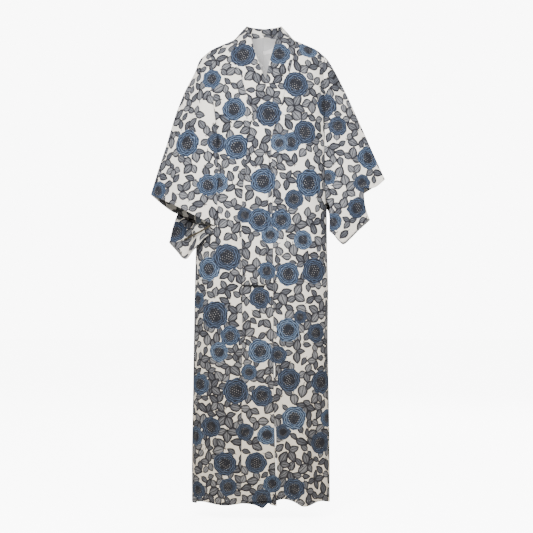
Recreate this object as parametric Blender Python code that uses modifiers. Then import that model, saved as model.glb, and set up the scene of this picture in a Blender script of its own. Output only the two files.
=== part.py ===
# Cotton yukata robe, worn form, hollow.
# Two body lengths that run over the shoulders, two front gores, one neckband and two bag sleeves.
# X is to the right of a person looking at the front, Y is to the back, Z is up.
# The origin is between the shoulders, where the wearer holds the robe up.
# Tables are in millimetres above the hem and angles are in degrees from the middle of the front.

import math
import bpy
import bmesh

# Driving sizes in millimetres
HOLD_HEIGHT = 1420.0
WALL = 1.4
SEAM_GAP = 0.5
NECK_SEAM_GAP = 1.7
SLEEVE_SEAM_GAP = 0.5
SHAPE = 2.4
ARM_LEVEL = 1150.0
COLLAR_END = 685.0
LAYER_STEP = 6.5
COLLAR_LIFT = 1.5
BAG_LAYERS = 5.0
BACK_NECK_ANGLE = 20.0
NECK_HALF_WIDTH = 100.0

# Counts
ACROSS_BODY = 12
ACROSS_GORE = 4
ACROSS_COLLAR = 4
SLEEVE_STATIONS = 13
BAG_ROWS = 5

# Body sections: height, centre, half width, front depth, back depth
TORSO = [
    (0, -11, 219, 128, 122),
    (157, -11, 219, 125, 120),
    (317, -10, 217, 122, 118),
    (509, -10, 214, 120, 116),
    (669, -8, 213, 118, 114),
    (781, -8, 210, 117, 112),
    (960, -6, 206, 116, 110),
    (1060, -4, 203, 117, 110),
    (1150, -3, 201, 118, 110),
]

# Shoulder line: distance from the middle, height
SHOULDER = [
    (0, 1500),
    (50, 1490),
    (99, 1466),
    (125, 1455),
    (160, 1440),
    (180, 1427),
    (201, 1404),
    (230, 1370),
]

# Rows of the body lengths below the arm
HEIGHTS = [0, 16, 50, 100, 165, 240, 325, 415, 505, 595, 650, 685, 735, 795, 855, 915, 975, 1030, 1080,
           1120, 1150]

# Rows in front that the neckband passes over, so that its turn at the neck stays even
COLLAR_SKIPS = (70.7, 73, 81, 85)

# Rows over the shoulder, as angles from the arm level to the shoulder line
RISES = [0, 2.5, 6, 11, 18, 26, 36, 48, 60, 70, 70.7, 73, 77, 81, 85, 90]

# Side seams: height, seam angle of the right body, seam angle of the left body
SIDE_SEAM = [
    (0, 65, 93),
    (600, 65, 93),
    (900, 70, 92),
    (1150, 82, 88),
]

# Armhole edge: rise, then the angle in front and behind for the right body and for the left body
ARMHOLE = [
    (0, 82, 82, 88, 88),
    (2.5, 76, 88, 84, 95),
    (6, 66, 96, 80, 104),
    (11, 56, 101, 77, 112),
    (18, 50, 105, 75, 118),
    (36, 48, 108, 73, 122),
    (60, 52, 113, 68, 121),
    (90, 61, 119, 60.5, 119.5),
]

# Front edge of the left body, on top: height, x. It is the gore seam, then the collar seam
LEFT_FRONT_EDGE = [
    (-10, 39),
    (133, 35),
    (327, 31),
    (546, 30),
    (686, 29),
    (905, 28),
    (1046, 26),
    (1149, 23),
    (1199, 33),
    (1247, 52),
    (1298, 66),
    (1343, 77),
    (1383, 87),
    (1425, 95),
    (1466, 101),
]

# Front edge of the right body, underneath
RIGHT_FRONT_EDGE = [
    (-10, -56),
    (171, -54),
    (327, -53),
    (546, -47),
    (686, -44),
    (905, -34),
    (1014, -25),
    (1149, -14),
    (1199, -25),
    (1247, -41),
    (1298, -56),
    (1343, -71),
    (1383, -82),
    (1425, -92),
    (1466, -99),
]

# Collar seam on the gores: height, x on the left gore, x on the right gore
GORE_COLLAR_SEAM = [
    (685, -1, 13),
    (758, 2, 10),
    (858, 8, 6),
    (936, 10, 5),
    (1014, 13, 0),
    (1093, 17, -6),
    (1149, 23, -14),
]

# Free front edges of the gores below the collar: height, x left, x right
GORE_FREE_EDGE = [
    (-10, -72, 39),
    (171, -70, 47),
    (327, -69, 60),
    (546, -68, 72),
    (685, -67, 78),
]

# Free edge of the collar, on top: height of its seam, free x, free height, free y where it leaves the chest
TOP_COLLAR = [
    (685, -67, 686, 0),
    (758, -68, 758, 0),
    (858, -70, 861, 0),
    (936, -69, 942, 0),
    (1014, -61, 1027, 0),
    (1093, -53, 1108, 0),
    (1149, -45, 1168, 0),
    (1199, -31, 1218, 0),
    (1247, -12, 1266, 0),
    (1298, 1, 1314, 0),
    (1343, 11, 1358, -103),
    (1383, 21, 1400, -91),
    (1425, 33, 1445, -66),
    (1466, 49, 1494, -27),
]

# Free edge of the collar, underneath
UNDER_COLLAR = [
    (685, 78, 686, 0),
    (758, 78, 758, 0),
    (858, 77, 861, 0),
    (936, 74, 942, 0),
    (1014, 69, 1027, 0),
    (1093, 61, 1108, 0),
    (1149, 52, 1171, 0),
    (1199, 38, 1224, 0),
    (1247, 22, 1272, 0),
    (1298, 8, 1325, 0),
    (1343, -9, 1362, -98),
    (1383, -24, 1406, -88),
    (1425, -37, 1452, -64),
    (1466, -48, 1496, -27),
]

# Free edge of the collar behind the neck: turn from the shoulder to the middle of the back, x, y, height
NECK_TOP = [
    (0, 49, -27, 1494),
    (12, 54, -5, 1508),
    (25, 55, 16, 1515),
    (45, 46, 48, 1517),
    (65, 27, 72, 1517),
    (90, 0, 86, 1516),
]

# Hem heights of the upper front, the lower front and the back: x, height
UPPER_HEM = [(-72, 4), (-40, 8), (0, 12), (39, 13), (53, 16), (69, 16), (94, 8), (110, -1), (125, -8),
             (144, -5), (175, 4), (208, -3)]
LOWER_HEM = [(-230, -6), (-200, 3), (-166, 1), (-126, -3), (-90, 0), (-72, 3), (-44, 2), (-20, -4), (2.6, -11),
             (3.4, 5), (20, 0), (39, -5)]
BACK_HEM = [(-230, -6), (-150, 3), (-70, -4), (10, 3), (90, -3), (160, 4), (208, -3)]

# Soft folds: angle at the lower end, angle at the upper end, lower height, upper height, width, depth
FOLDS = [
    (34, 24, -20, 420, 26, 9),
    (19, 17, -20, 300, 20, -7),
    (58, 50, -20, 520, 30, -6),
    (76, 72, -20, 460, 24, 5),
    (-33, -27, -20, 380, 24, 5),
    (-50, -46, -20, 470, 26, -5),
    (-21, -22, 60, 620, 12, -3),
    (112, 116, -20, 520, 30, 7),
    (138, 140, -20, 620, 34, -6),
    (160, 158, -20, 480, 28, 6),
    (-110, -114, -20, 540, 30, 6),
    (-136, -140, -20, 480, 32, -6),
    (-161, -157, -20, 600, 28, 5),
    (56, 40, 760, 1120, 24, 4),
    (-40, -30, 780, 1120, 24, 4),
    (128, 150, 760, 1140, 34, 6),
    (-128, -150, 780, 1120, 34, 5),
]

# Sleeve of the right body: station, top fold x, y, height, front crease height, underarm height,
# back crease height, front crease angle, its clearance, back crease angle, its clearance
RIGHT_SLEEVE = [
    (0.00, -183, 0, 1427, 1254, 1150, 1254, 50, 0, 105, 0),
    (0.06, -203, 0, 1404, 1231, 1134, 1230, 47, 8, 106, 6),
    (0.16, -226, 0, 1356, 1191, 1108, 1190, 43, 13, 108, 10),
    (0.30, -254, 0, 1301, 1138, 1069, 1136, 40, 17, 109, 12),
    (0.45, -283, 0, 1227, 1081, 1029, 1081, 39, 18, 109, 13),
    (0.62, -310, 0, 1138, 1016, 986, 1020, 38, 18, 108, 14),
    (0.80, -336, 0, 1060, 947, 935, 955, 38, 17, 106, 14),
    (1.00, -362, 0, 974, 871, 880, 890, 40, 16, 103, 14),
]

# Sleeve of the left body, with the same columns
LEFT_SLEEVE = [
    (0.00, 176, 0, 1429, 1250, 1150, 1250, 75, 0, 118, 0),
    (0.06, 203, 0, 1404, 1232, 1136, 1230, 74, 6, 117, 6),
    (0.16, 233, 0, 1354, 1202, 1116, 1196, 73, 9, 115, 9),
    (0.30, 264, 2, 1293, 1160, 1084, 1152, 72, 10, 113, 10),
    (0.45, 296, 3, 1224, 1115, 1052, 1104, 71, 11, 112, 11),
    (0.62, 331, 4, 1147, 1064, 1018, 1050, 71, 12, 111, 12),
    (0.80, 361, 4, 1080, 1012, 978, 995, 72, 12, 110, 12),
    (1.00, 387, 4, 1023, 957, 936, 938, 74, 12, 108, 12),
]

# Lower edge of the right sleeve bag: place along it, x, y, height
RIGHT_BAG_EDGE = [
    (0.00, -303, 12, 819),
    (0.20, -278, -20, 793),
    (0.38, -252, -46, 768),
    (0.50, -232, -66, 789),
    (0.62, -212, -82, 811),
    (0.78, -192, -94, 833),
    (1.00, -162, -106, 853),
]

# Lower edge of the left sleeve bag
LEFT_BAG_EDGE = [
    (0.00, 338, -2, 893),
    (0.28, 299, -12, 858),
    (0.60, 249, -22, 814),
    (0.78, 231, -30, 836),
    (1.00, 206, -44, 856),
]


def row_at(table, key):
    """Values of a table's other columns at a key, on a smooth curve through the rows."""
    last = len(table) - 1
    if key <= table[0][0]:
        return table[0][1:]
    if key >= table[last][0]:
        return table[last][1:]
    i = 0
    while key > table[i + 1][0]:
        i += 1
    span = table[i + 1][0] - table[i][0]
    t = (key - table[i][0]) / span
    before = table[max(i - 1, 0)]
    start = table[i]
    end = table[i + 1]
    after = table[min(i + 2, last)]
    values = []
    for c in range(1, len(start)):
        rate_in = (end[c] - before[c]) / (end[0] - before[0])
        rate_out = (after[c] - start[c]) / (after[0] - start[0])
        value = (2 * t ** 3 - 3 * t ** 2 + 1) * start[c]
        value += (t ** 3 - 2 * t ** 2 + t) * span * rate_in
        value += (3 * t ** 2 - 2 * t ** 3) * end[c]
        value += (t ** 3 - t ** 2) * span * rate_out
        values.append(value)
    return tuple(values)


def smooth(value):
    """Soft step from 0 to 1."""
    value = max(0.0, min(1.0, value))
    return value * value * (3 - 2 * value)


def power(value, exponent):
    """Power that keeps the sign."""
    return math.copysign(abs(value) ** exponent, value)


def lerp(a, b, t):
    return tuple(a[i] + (b[i] - a[i]) * t for i in range(len(a)))


def relief(turn, height):
    """How far the soft folds stand out from the body."""
    angle = math.degrees(turn)
    while angle > 180:
        angle -= 360
    while angle < -180:
        angle += 360
    total = 0.0
    for low_angle, high_angle, low, high, width, depth in FOLDS:
        t = (height - low) / (high - low)
        centre = low_angle + (high_angle - low_angle) * t
        away = math.radians(angle - centre) * 165 / width
        if abs(away) > 3:
            continue
        fade = smooth((high - height) / (0.55 * (high - low)))
        if low > 0:
            fade *= smooth((height - low) / (0.35 * (high - low)))
        total += depth * fade * math.exp(-away * away)
    return total


def top_free_x(height):
    """x of the free edge of the front that lies on top."""
    if height < COLLAR_END:
        return row_at(GORE_FREE_EDGE, height)[0]
    pairs = [(row[2], row[1]) for row in TOP_COLLAR]
    return row_at(pairs, height)[0]


def tuck(x, height):
    """How far the lower front is set in under the upper front."""
    return LAYER_STEP * smooth((x - top_free_x(height) + 36) / 26)


def body_point(turn, height, rise, under, grow=0.0):
    """Point of the body form. A rise above 0 is over the arm level, up to 90 on the shoulder line."""
    centre, half, front, back = row_at(TORSO, height)
    sine = math.sin(turn)
    cosine = math.cos(turn)
    across = power(sine, 2 / SHAPE)
    along = power(cosine, 2 / SHAPE)
    depth = front if cosine > 0 else back
    swell = relief(turn, height) + grow
    close = 1.0
    x = centre + half * across
    if rise > 0:
        close = math.cos(math.radians(rise)) ** (2 / SHAPE) if rise < 90 else 0.0
        lift = math.sin(math.radians(rise)) ** (2 / SHAPE)
        height = ARM_LEVEL + (row_at(SHOULDER, abs(x))[0] - ARM_LEVEL) * lift
        swell = relief(turn, height) * close
    if under and cosine > 0:
        swell -= tuck(x, height) * min(1.0, close * 1.5)
    away_x = sine * 0.35 if abs(sine) < 0.9 else sine * (0.35 + 6.5 * (abs(sine) - 0.9))
    x += away_x * swell
    y = -(depth * along * close + cosine * swell)
    return (x, y, height)


def turn_for_x(x, height, back=False):
    centre, half, front, behind = row_at(TORSO, height)
    share = max(-1.0, min(1.0, (x - centre) / half))
    turn = math.asin(power(share, SHAPE / 2))
    if back:
        turn = math.pi - turn if turn >= 0 else -math.pi - turn
    return turn


def chest_point(x, height, under, lift=0.0):
    """Point of the front at a given x and height."""
    if height <= ARM_LEVEL:
        turn = turn_for_x(x, height)
        point = body_point(turn, height, 0, under, lift)
        return (x, point[1], height)
    turn = turn_for_x(x, ARM_LEVEL)
    top = row_at(SHOULDER, abs(x))[0]
    share = min(0.9999, (height - ARM_LEVEL) / (top - ARM_LEVEL))
    rise = math.degrees(math.asin(share ** (SHAPE / 2)))
    point = body_point(turn, height, rise, under)
    return (x, point[1] - lift, height)


def side_turn(height, side):
    column = 1 if side > 0 else 0
    return math.radians(row_at(SIDE_SEAM, height)[column])


def hem_shift(x, height, table):
    """Height of a row after the hem's own line is blended in."""
    return height + row_at(table, x)[0] * smooth((420 - height) / 420)


def row_points(start, end, place, count):
    """Points evenly spaced along a row."""
    fine = 36
    samples = [place(start + (end - start) * i / fine) for i in range(fine + 1)]
    lengths = [0.0]
    for a, b in zip(samples, samples[1:]):
        lengths.append(lengths[-1] + math.dist(a, b))
    points = []
    i = 0
    for k in range(count + 1):
        target = lengths[-1] * k / count
        while i < fine - 1 and lengths[i + 1] < target:
            i += 1
        step = lengths[i + 1] - lengths[i]
        t = (target - lengths[i]) / step if step > 0 else 0.0
        points.append(place(start + (end - start) * (i + t) / fine))
    return points


def front_edge_turn(rise, side):
    """Angle where a row over the chest meets the collar seam."""
    table = LEFT_FRONT_EDGE if side > 0 else RIGHT_FRONT_EDGE
    low = 0.0
    high = math.radians(80)
    for _ in range(40):
        middle = (low + high) / 2
        x, y, height = body_point(side * middle, ARM_LEVEL, rise, False)
        reach = abs(row_at(table, height)[0]) if height > 1149 else abs(row_at(table, 1149)[0])
        if abs(x) < reach:
            low = middle
        else:
            high = middle
    return high


def body_rows(side, across):
    """Rows of a body length, from the back hem over the shoulder to the front hem."""
    under = side < 0
    edge = LEFT_FRONT_EDGE if side > 0 else RIGHT_FRONT_EDGE
    hem = UPPER_HEM if side > 0 else LOWER_HEM
    slit = 0.3 / 150
    rows = []
    for height in HEIGHTS:
        seam = side_turn(height, side) + slit

        def place(turn, height=height):
            x = body_point(side * turn, height, 0, False)[0]
            return body_point(side * turn, hem_shift(x, height, BACK_HEM), 0, False)
        rows.append(row_points(math.pi - SEAM_GAP / 2 / 300, seam, place, across))
    for rise in RISES[1:]:
        in_turn = math.pi - SEAM_GAP / 2 / 300
        short = 90 - BACK_NECK_ANGLE
        if rise > short:
            x = side * NECK_HALF_WIDTH * math.sqrt(1 - ((90 - rise) / BACK_NECK_ANGLE) ** 2)
            x = max(0.4, abs(x)) * side
            in_turn = abs(turn_for_x(x, ARM_LEVEL, True))
        out_turn = math.radians(row_at(ARMHOLE, rise)[3 if side > 0 else 1])

        def place(turn, rise=rise):
            return body_point(side * turn, ARM_LEVEL, rise, False)
        rows.append(row_points(in_turn, out_turn, place, across))
    for rise in reversed(RISES[1:-1]):
        in_turn = front_edge_turn(rise, side)
        out_turn = math.radians(row_at(ARMHOLE, rise)[2 if side > 0 else 0])

        def place(turn, rise=rise):
            return body_point(side * turn, ARM_LEVEL, rise, under)
        rows.append(row_points(in_turn, out_turn, place, across))
    for height in reversed(HEIGHTS):
        seam = side_turn(height, side) - slit
        first = turn_for_x(row_at(edge, height)[0], height) * side

        def place(turn, height=height):
            x = body_point(side * turn, height, 0, False)[0]
            return body_point(side * turn, hem_shift(x, height, hem), 0, under)
        rows.append(row_points(first, seam, place, across))
    return rows


def gore_rows(side):
    """Rows of a front gore: the wide part below the collar and the tapering strip beside it."""
    column = 0 if side > 0 else 1
    under = side < 0
    edge = LEFT_FRONT_EDGE if side > 0 else RIGHT_FRONT_EDGE
    hem = UPPER_HEM if side > 0 else LOWER_HEM
    wide = []
    strip = []
    for height in HEIGHTS:
        seam = row_at(edge, height)[0] - side * SEAM_GAP
        collar = row_at(GORE_COLLAR_SEAM, height)[column]
        if height <= COLLAR_END:
            free = row_at(GORE_FREE_EDGE, height)[column]
            row = []
            for k in range(2 * ACROSS_GORE + 1):
                if k <= ACROSS_GORE:
                    x = free + (collar - free) * k / ACROSS_GORE
                else:
                    x = collar + (seam - collar) * (k - ACROSS_GORE) / ACROSS_GORE
                row.append(chest_point(x, hem_shift(x, height, hem), under))
            wide.append(row)
        if height >= COLLAR_END and height < 1140:
            row = []
            for k in range(ACROSS_GORE + 1):
                x = collar + (seam - collar) * k / ACROSS_GORE
                row.append(chest_point(x, height, under))
            strip.append(row)
    return wide, strip


def collar_half(side, body):
    """Stations of the neckband from a lower end to the middle of the back: seam point, free point."""
    under = side < 0
    column = 0 if side > 0 else 1
    table = TOP_COLLAR if side > 0 else UNDER_COLLAR
    stations = []
    for height in HEIGHTS:
        if height < COLLAR_END or height > 1149:
            continue
        seam_x = row_at(GORE_COLLAR_SEAM, height)[column]
        free_x, free_height, free_y = row_at(table, height)
        if height == COLLAR_END:
            height += SEAM_GAP
            free_height = height
        free = chest_point(free_x, free_height, under, COLLAR_LIFT)
        stations.append((chest_point(seam_x, height, under), free, SEAM_GAP, 0.0))
    count = len(RISES)
    for i in range(count - 1):
        if RISES[i] in COLLAR_SKIPS:
            continue
        seam = body[2 * (count - 1) + len(HEIGHTS) - 1 - i][0]
        free_x, free_height, free_y = row_at(table, seam[2])
        leave = smooth((seam[2] - 1298) / 60)
        free = chest_point(free_x, free_height, under, COLLAR_LIFT)
        free = (free_x, free[1] * (1 - leave) + free_y * leave, free_height)
        gap = SEAM_GAP + (NECK_SEAM_GAP - SEAM_GAP) * leave
        stations.append((seam, free, gap, leave))
    for i in range(count):
        rise = RISES[count - 1 - i]
        if rise < 90 - BACK_NECK_ANGLE:
            break
        seam = body[len(HEIGHTS) + count - 2 - i][0]
        angle = math.degrees(math.asin(min(1.0, (90 - rise) / BACK_NECK_ANGLE)))
        free_x, free_y, free_height = row_at(NECK_TOP, angle)
        if angle < 89:
            stations.append((seam, (side * free_x, free_y, free_height), NECK_SEAM_GAP, 1.0))
    return stations


def collar_rows(left_body, right_body):
    """Cross rows of the neckband, from the lower end underneath to the lower end on top."""
    right = collar_half(-1, right_body)
    left = collar_half(1, left_body)
    middle_seam = left_body[len(HEIGHTS) - 1 + RISES.index(90 - BACK_NECK_ANGLE)][0]
    back = row_at(NECK_TOP, 90)
    middle = ((0, middle_seam[1], middle_seam[2]), (0, back[1], back[2]), NECK_SEAM_GAP, 1.0)
    rows = []
    groups = [(station, True) for station in right]
    groups += [(middle, False)]
    groups += [(station, False) for station in reversed(left)]
    for (seam, free, gap, leave), under in groups:
        span = math.dist(seam, free)
        row = []
        for k in range(ACROSS_COLLAR + 1):
            t = gap / span + (1 - gap / span) * k / ACROSS_COLLAR
            straight = lerp(seam, free, t)
            roll = 3.0 * math.sin(math.pi * t) * leave
            x, y, height = straight
            out = math.hypot(x, y) or 1.0
            x += roll * x / out
            y += roll * y / out
            if leave < 1:
                flat = chest_point(straight[0], straight[2], under, COLLAR_LIFT * smooth(t * 3))
                y = y * leave + flat[1] * (1 - leave)
            row.append((x, y, height))
        rows.append(row)
    return rows


def clear_of_torso(point, margin):
    """Moves a point out to a clearance from the body."""
    x, y, height = point
    centre, half, front, back = row_at(TORSO, height)
    depth = (front if y < 0 else back) + relief(math.atan2(x - centre, -y), height)
    if height > ARM_LEVEL:
        share = min(0.98, (height - ARM_LEVEL) / 275)
        depth *= (1 - share ** SHAPE) ** (1 / SHAPE)
    inside = (abs(x - centre) / (half + margin)) ** SHAPE + (abs(y) / (depth + margin)) ** SHAPE
    if inside >= 1:
        return point
    scale = inside ** (-1 / SHAPE)
    return (centre + (x - centre) * scale, y * scale, height)


def armhole_loop(side, body):
    """Points of the armhole edge: the shoulder, down the front, under the arm, up the back."""
    count = len(RISES)
    top = len(HEIGHTS) + count - 2
    loop = [body[top][-1]]
    for i in range(1, count - 1):
        loop.append(body[top + i][-1])
    under_arm = body[top + count - 1][-1]
    loop.append(under_arm)
    for i in range(1, count - 1):
        loop.append(body[len(HEIGHTS) - 1 + i][-1])
    return loop


def armhole_normals(side, body):
    """Outward directions of the body cloth along the armhole edge, in the order of the loop."""
    count = len(RISES)
    top = len(HEIGHTS) + count - 2
    rows = [top + i for i in range(count)] + [len(HEIGHTS) - 1 + i for i in range(1, count - 1)]
    normals = []
    for r in rows:
        along = [body[r + 1][-1][i] - body[r - 1][-1][i] for i in range(3)]
        across = [body[r][-1][i] - body[r][-3][i] for i in range(3)]
        if r == top + count - 1:
            normals.append((side, 0.0, 0.0))
            continue
        nx = along[1] * across[2] - along[2] * across[1]
        ny = along[2] * across[0] - along[0] * across[2]
        nz = along[0] * across[1] - along[1] * across[0]
        size = math.sqrt(nx * nx + ny * ny + nz * nz)
        point = body[r][-1]
        if nx * point[0] + ny * point[1] + nz * (point[2] - ARM_LEVEL + 60) < 0:
            size = -size
        normals.append((nx / size, ny / size, nz / size))
    return normals


def places_along(points):
    total = [0.0]
    for a, b in zip(points, points[1:]):
        total.append(total[-1] + math.dist(a, b))
    return [value / total[-1] for value in total]


def sleeve_shape(side, u, shares, counts, edge_front, edge_back):
    """Loop of a sleeve at a station, before it is fitted to the armhole."""
    table = LEFT_SLEEVE if side > 0 else RIGHT_SLEEVE
    values = row_at(table, u)
    fold = values[0:3]
    front_height, under_height, back_height, front_turn, front_clear, back_turn, back_clear = values[3:10]
    front_turn = math.radians(front_turn)
    back_turn = math.radians(back_turn)
    even = smooth(u / 0.4)
    n_front, n_inner, n_back = counts

    def inner(t):
        turn = front_turn + (back_turn - front_turn) * t
        dip = 1 - abs(2 * t - 1)
        outer = front_clear if t < 0.5 else back_clear
        clear = outer + (min(outer, 8.0) - outer) * smooth(dip / 0.35)
        height = front_height + (back_height - front_height) * t
        height += (under_height - (front_height + back_height) / 2) * smooth(dip)
        point = body_point(side * turn, min(height, ARM_LEVEL), 0, False, 0)
        return clear_of_torso((point[0] * 1.001, point[1] * 1.001, height), clear)
    crease = inner(0)
    behind = inner(1)
    loop = []
    for k in range(n_front):
        f = shares[0][k] * (1 - even) + even * k / n_front
        x = fold[0] + (crease[0] - fold[0]) * f
        y = fold[1] + (crease[1] - fold[1]) * (1 - (1 - f) ** 2.3)
        y -= 12 * math.sin(math.pi * f) * smooth(u * 2)
        height = fold[2] + (crease[2] - fold[2]) * f
        height += row_at(edge_front, f)[0] * smooth((u - 0.72) / 0.28)
        loop.append((x, y, height))
    for k in range(n_inner):
        f = shares[1][k] * (1 - even) + even * k / n_inner
        loop.append(inner(f))
    for k in range(n_back):
        f = shares[2][k] * (1 - even) + even * k / n_back
        x = behind[0] + (fold[0] - behind[0]) * f
        y = behind[1] + (fold[1] - behind[1]) * f
        y += (18 + 34 * smooth(u * 2)) * math.sin(math.pi * min(1.0, f) ** 0.9)
        height = behind[2] + (fold[2] - behind[2]) * f
        height += row_at(edge_back, f)[0] * smooth((u - 0.72) / 0.28)
        loop.append((x, y, height))
    return loop


def sleeve_loops(side, body, stations):
    """Loops of a sleeve from the armhole to the cuff."""
    rim = armhole_loop(side, body)
    normals = armhole_normals(side, body)
    lap = WALL + SLEEVE_SEAM_GAP
    counts = (11, 8, 11)
    shares = (places_along(rim[0:12]), places_along(rim[11:20]), places_along(rim[19:30] + [rim[0]]))
    if side > 0:
        edge_front = [(0, 0), (0.15, -15), (0.27, -12), (0.42, -3), (1, 0)]
        edge_back = [(0, 0), (0.35, -14), (0.63, -16), (0.85, -8), (1, 0)]
    else:
        edge_front = [(0, 0), (0.5, 3), (1, 0)]
        edge_back = [(0, 0), (0.3, -8), (0.55, -16), (0.8, -10), (1, 0)]
    start = sleeve_shape(side, 0.0, shares, counts, edge_front, edge_back)
    loops = []
    for s in range(stations):
        u = (s / (stations - 1)) ** 1.15
        shape = sleeve_shape(side, u, shares, counts, edge_front, edge_back)
        keep = 1 - smooth(u / 0.4)
        loop = []
        for j in range(30):
            point = tuple(shape[j][i] + (rim[j][i] - start[j][i]) * keep for i in range(3))
            if s == 0:
                point = tuple(point[i] + normals[j][i] * lap for i in range(3))
            else:
                clear = 3.0 + 6.0 * smooth(u / 0.15)
                point = clear_of_torso(point, clear)
            loop.append(point)
        loops.append(loop)
    return loops


def grid_normal(grid, r, k):
    """Direction square to a grid of points at one of them."""
    last_row = len(grid) - 1
    last_column = len(grid[0]) - 1
    a = grid[min(r + 1, last_row)][k]
    b = grid[max(r - 1, 0)][k]
    c = grid[r][min(k + 1, last_column)]
    d = grid[r][max(k - 1, 0)]
    u = [a[i] - b[i] for i in range(3)]
    v = [c[i] - d[i] for i in range(3)]
    normal = (u[1] * v[2] - u[2] * v[1], u[2] * v[0] - u[0] * v[2], u[0] * v[1] - u[1] * v[0])
    size = math.sqrt(sum(value * value for value in normal)) or 1.0
    return tuple(value / size for value in normal)


def bag_rows(side, cuff):
    """Sleeve bag below the cuff opening, as rows that start on the cuff's own points."""
    rows = []
    if side > 0:
        front = list(range(4, 12))
        back = list(range(26, 18, -1))
        edge_table = LEFT_BAG_EDGE
    else:
        front = list(range(24, 11, -1))
        back = []
        edge_table = RIGHT_BAG_EDGE
    last = len(front) - 1
    edge = [row_at(edge_table, k / last) for k in range(last + 1)]
    for r in range(1, BAG_ROWS + 1):
        t = r / BAG_ROWS
        row = []
        for k, j in enumerate(front):
            point = lerp(cuff[j], edge[k], t)
            out = 7.0 * math.sin(math.pi * t) * math.sin(math.pi * k / last)
            side_bow = -side * 6.0 * math.sin(math.pi * t) * (1 - k / last) ** 2
            if side < 0:
                side_bow = -0.5 * side_bow
            point = (point[0] + side_bow, point[1] - out, point[2])
            row.append(clear_of_torso(point, 14.0))
        rows.append(row)
    closing = rows[-1]
    if side > 0:
        for r in range(1, BAG_ROWS):
            t = r / BAG_ROWS
            row = []
            for k, j in enumerate(back):
                low = (closing[k][0], closing[k][1] + 3.0, closing[k][2] + 0.5)
                point = lerp(low, cuff[j], t)
                out = 10.0 * math.sin(math.pi * t) * math.sin(math.pi * k / last)
                side_bow = -side * 6.0 * math.sin(math.pi * t) * (1 - k / last) ** 2
                point = (point[0] + side_bow, point[1] + out, point[2])
                row.append(clear_of_torso(point, 9.0))
            rows.append(row)
        rows.append([cuff[j] for j in back])
    else:
        layer = [[cuff[j] for j in front]] + rows
        for r in range(BAG_ROWS, 1, -1):
            row = []
            for k in range(last + 1):
                away = grid_normal(layer, r, k)
                if away[1] < 0:
                    away = (-away[0], -away[1], -away[2])
                point = layer[r][k]
                behind = tuple(point[i] + away[i] * BAG_LAYERS for i in range(3))
                row.append((behind[0], behind[1], behind[2] + 1.0))
            rows.append(row)
    return front, back, rows


def to_metres(point):
    return (point[0] / 1000, point[1] / 1000, (point[2] - HOLD_HEIGHT) / 1000)


def colour(name, rgb):
    material = bpy.data.materials.new(name)
    material.use_nodes = True
    shader = material.node_tree.nodes["Principled BSDF"]
    shader.inputs["Base Color"].default_value = (rgb[0], rgb[1], rgb[2], 1.0)
    shader.inputs["Roughness"].default_value = 0.9
    return material


def add_shell(name, grids, collection, rgb, extra_faces=()):
    """Cloth wall from grids of points that share their equal points."""
    mesh = bpy.data.meshes.new(name)
    work = bmesh.new()
    known = {}

    def vertex(point):
        key = (round(point[0], 4), round(point[1], 4), round(point[2], 4))
        if key not in known:
            known[key] = work.verts.new(to_metres(point))
        return known[key]
    for grid, closed in grids:
        for a, b in zip(grid, grid[1:]):
            count = len(a) if closed else len(a) - 1
            for k in range(count):
                n = (k + 1) % len(a)
                corners = [vertex(a[k]), vertex(a[n]), vertex(b[n]), vertex(b[k])]
                unique = []
                for corner in corners:
                    if corner not in unique:
                        unique.append(corner)
                if len(unique) > 2:
                    work.faces.new(unique)
    bmesh.ops.recalc_face_normals(work, faces=work.faces[:])
    bmesh.ops.triangulate(work, faces=work.faces[:])
    for face in work.faces:
        face.smooth = True
    work.to_mesh(mesh)
    work.free()
    shell = bpy.data.objects.new(name, mesh)
    collection.objects.link(shell)
    shell.data.materials.append(colour(name + "_cloth", rgb))
    thick = shell.modifiers.new("cloth wall", "SOLIDIFY")
    thick.thickness = WALL / 1000
    thick.offset = 0.0
    thick.use_even_offset = True
    thick.use_rim = True
    return shell


def build():
    for item in list(bpy.data.objects):
        bpy.data.objects.remove(item, do_unlink=True)
    robe = bpy.data.collections.new("yukata_robe")
    bpy.context.scene.collection.children.link(robe)
    left_body = body_rows(1, ACROSS_BODY)
    right_body = body_rows(-1, ACROSS_BODY)
    cream = (0.78, 0.76, 0.70)
    add_shell("body_left", [(left_body, False)], robe, cream)
    add_shell("body_right", [(right_body, False)], robe, cream)
    for name, side in (("gore_left", 1), ("gore_right", -1)):
        wide, strip = gore_rows(side)
        add_shell(name, [(wide, False), (strip, False)], robe, cream)
    add_shell("collar", [(collar_rows(left_body, right_body), False)], robe, cream)
    for name, side, body in (("sleeve_left", 1, left_body), ("sleeve_right", -1, right_body)):
        loops = sleeve_loops(side, body, SLEEVE_STATIONS)
        front, back, rows = bag_rows(side, loops[-1])
        bag = [[loops[-1][j] for j in front]] + rows
        add_shell(name, [(loops, True), (bag, False)], robe, cream)


build()
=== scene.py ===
# Cotton yukata robe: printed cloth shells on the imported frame, with camera, floor and lights.
# Sizes are in millimetres above the hem until a mesh is written.
# A side is 1 for the wearer's left and -1 for the right.
# A tuple of three is across, away from the camera, up.

import math
import random
import bpy
import numpy as np
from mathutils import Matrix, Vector, kdtree


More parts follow.
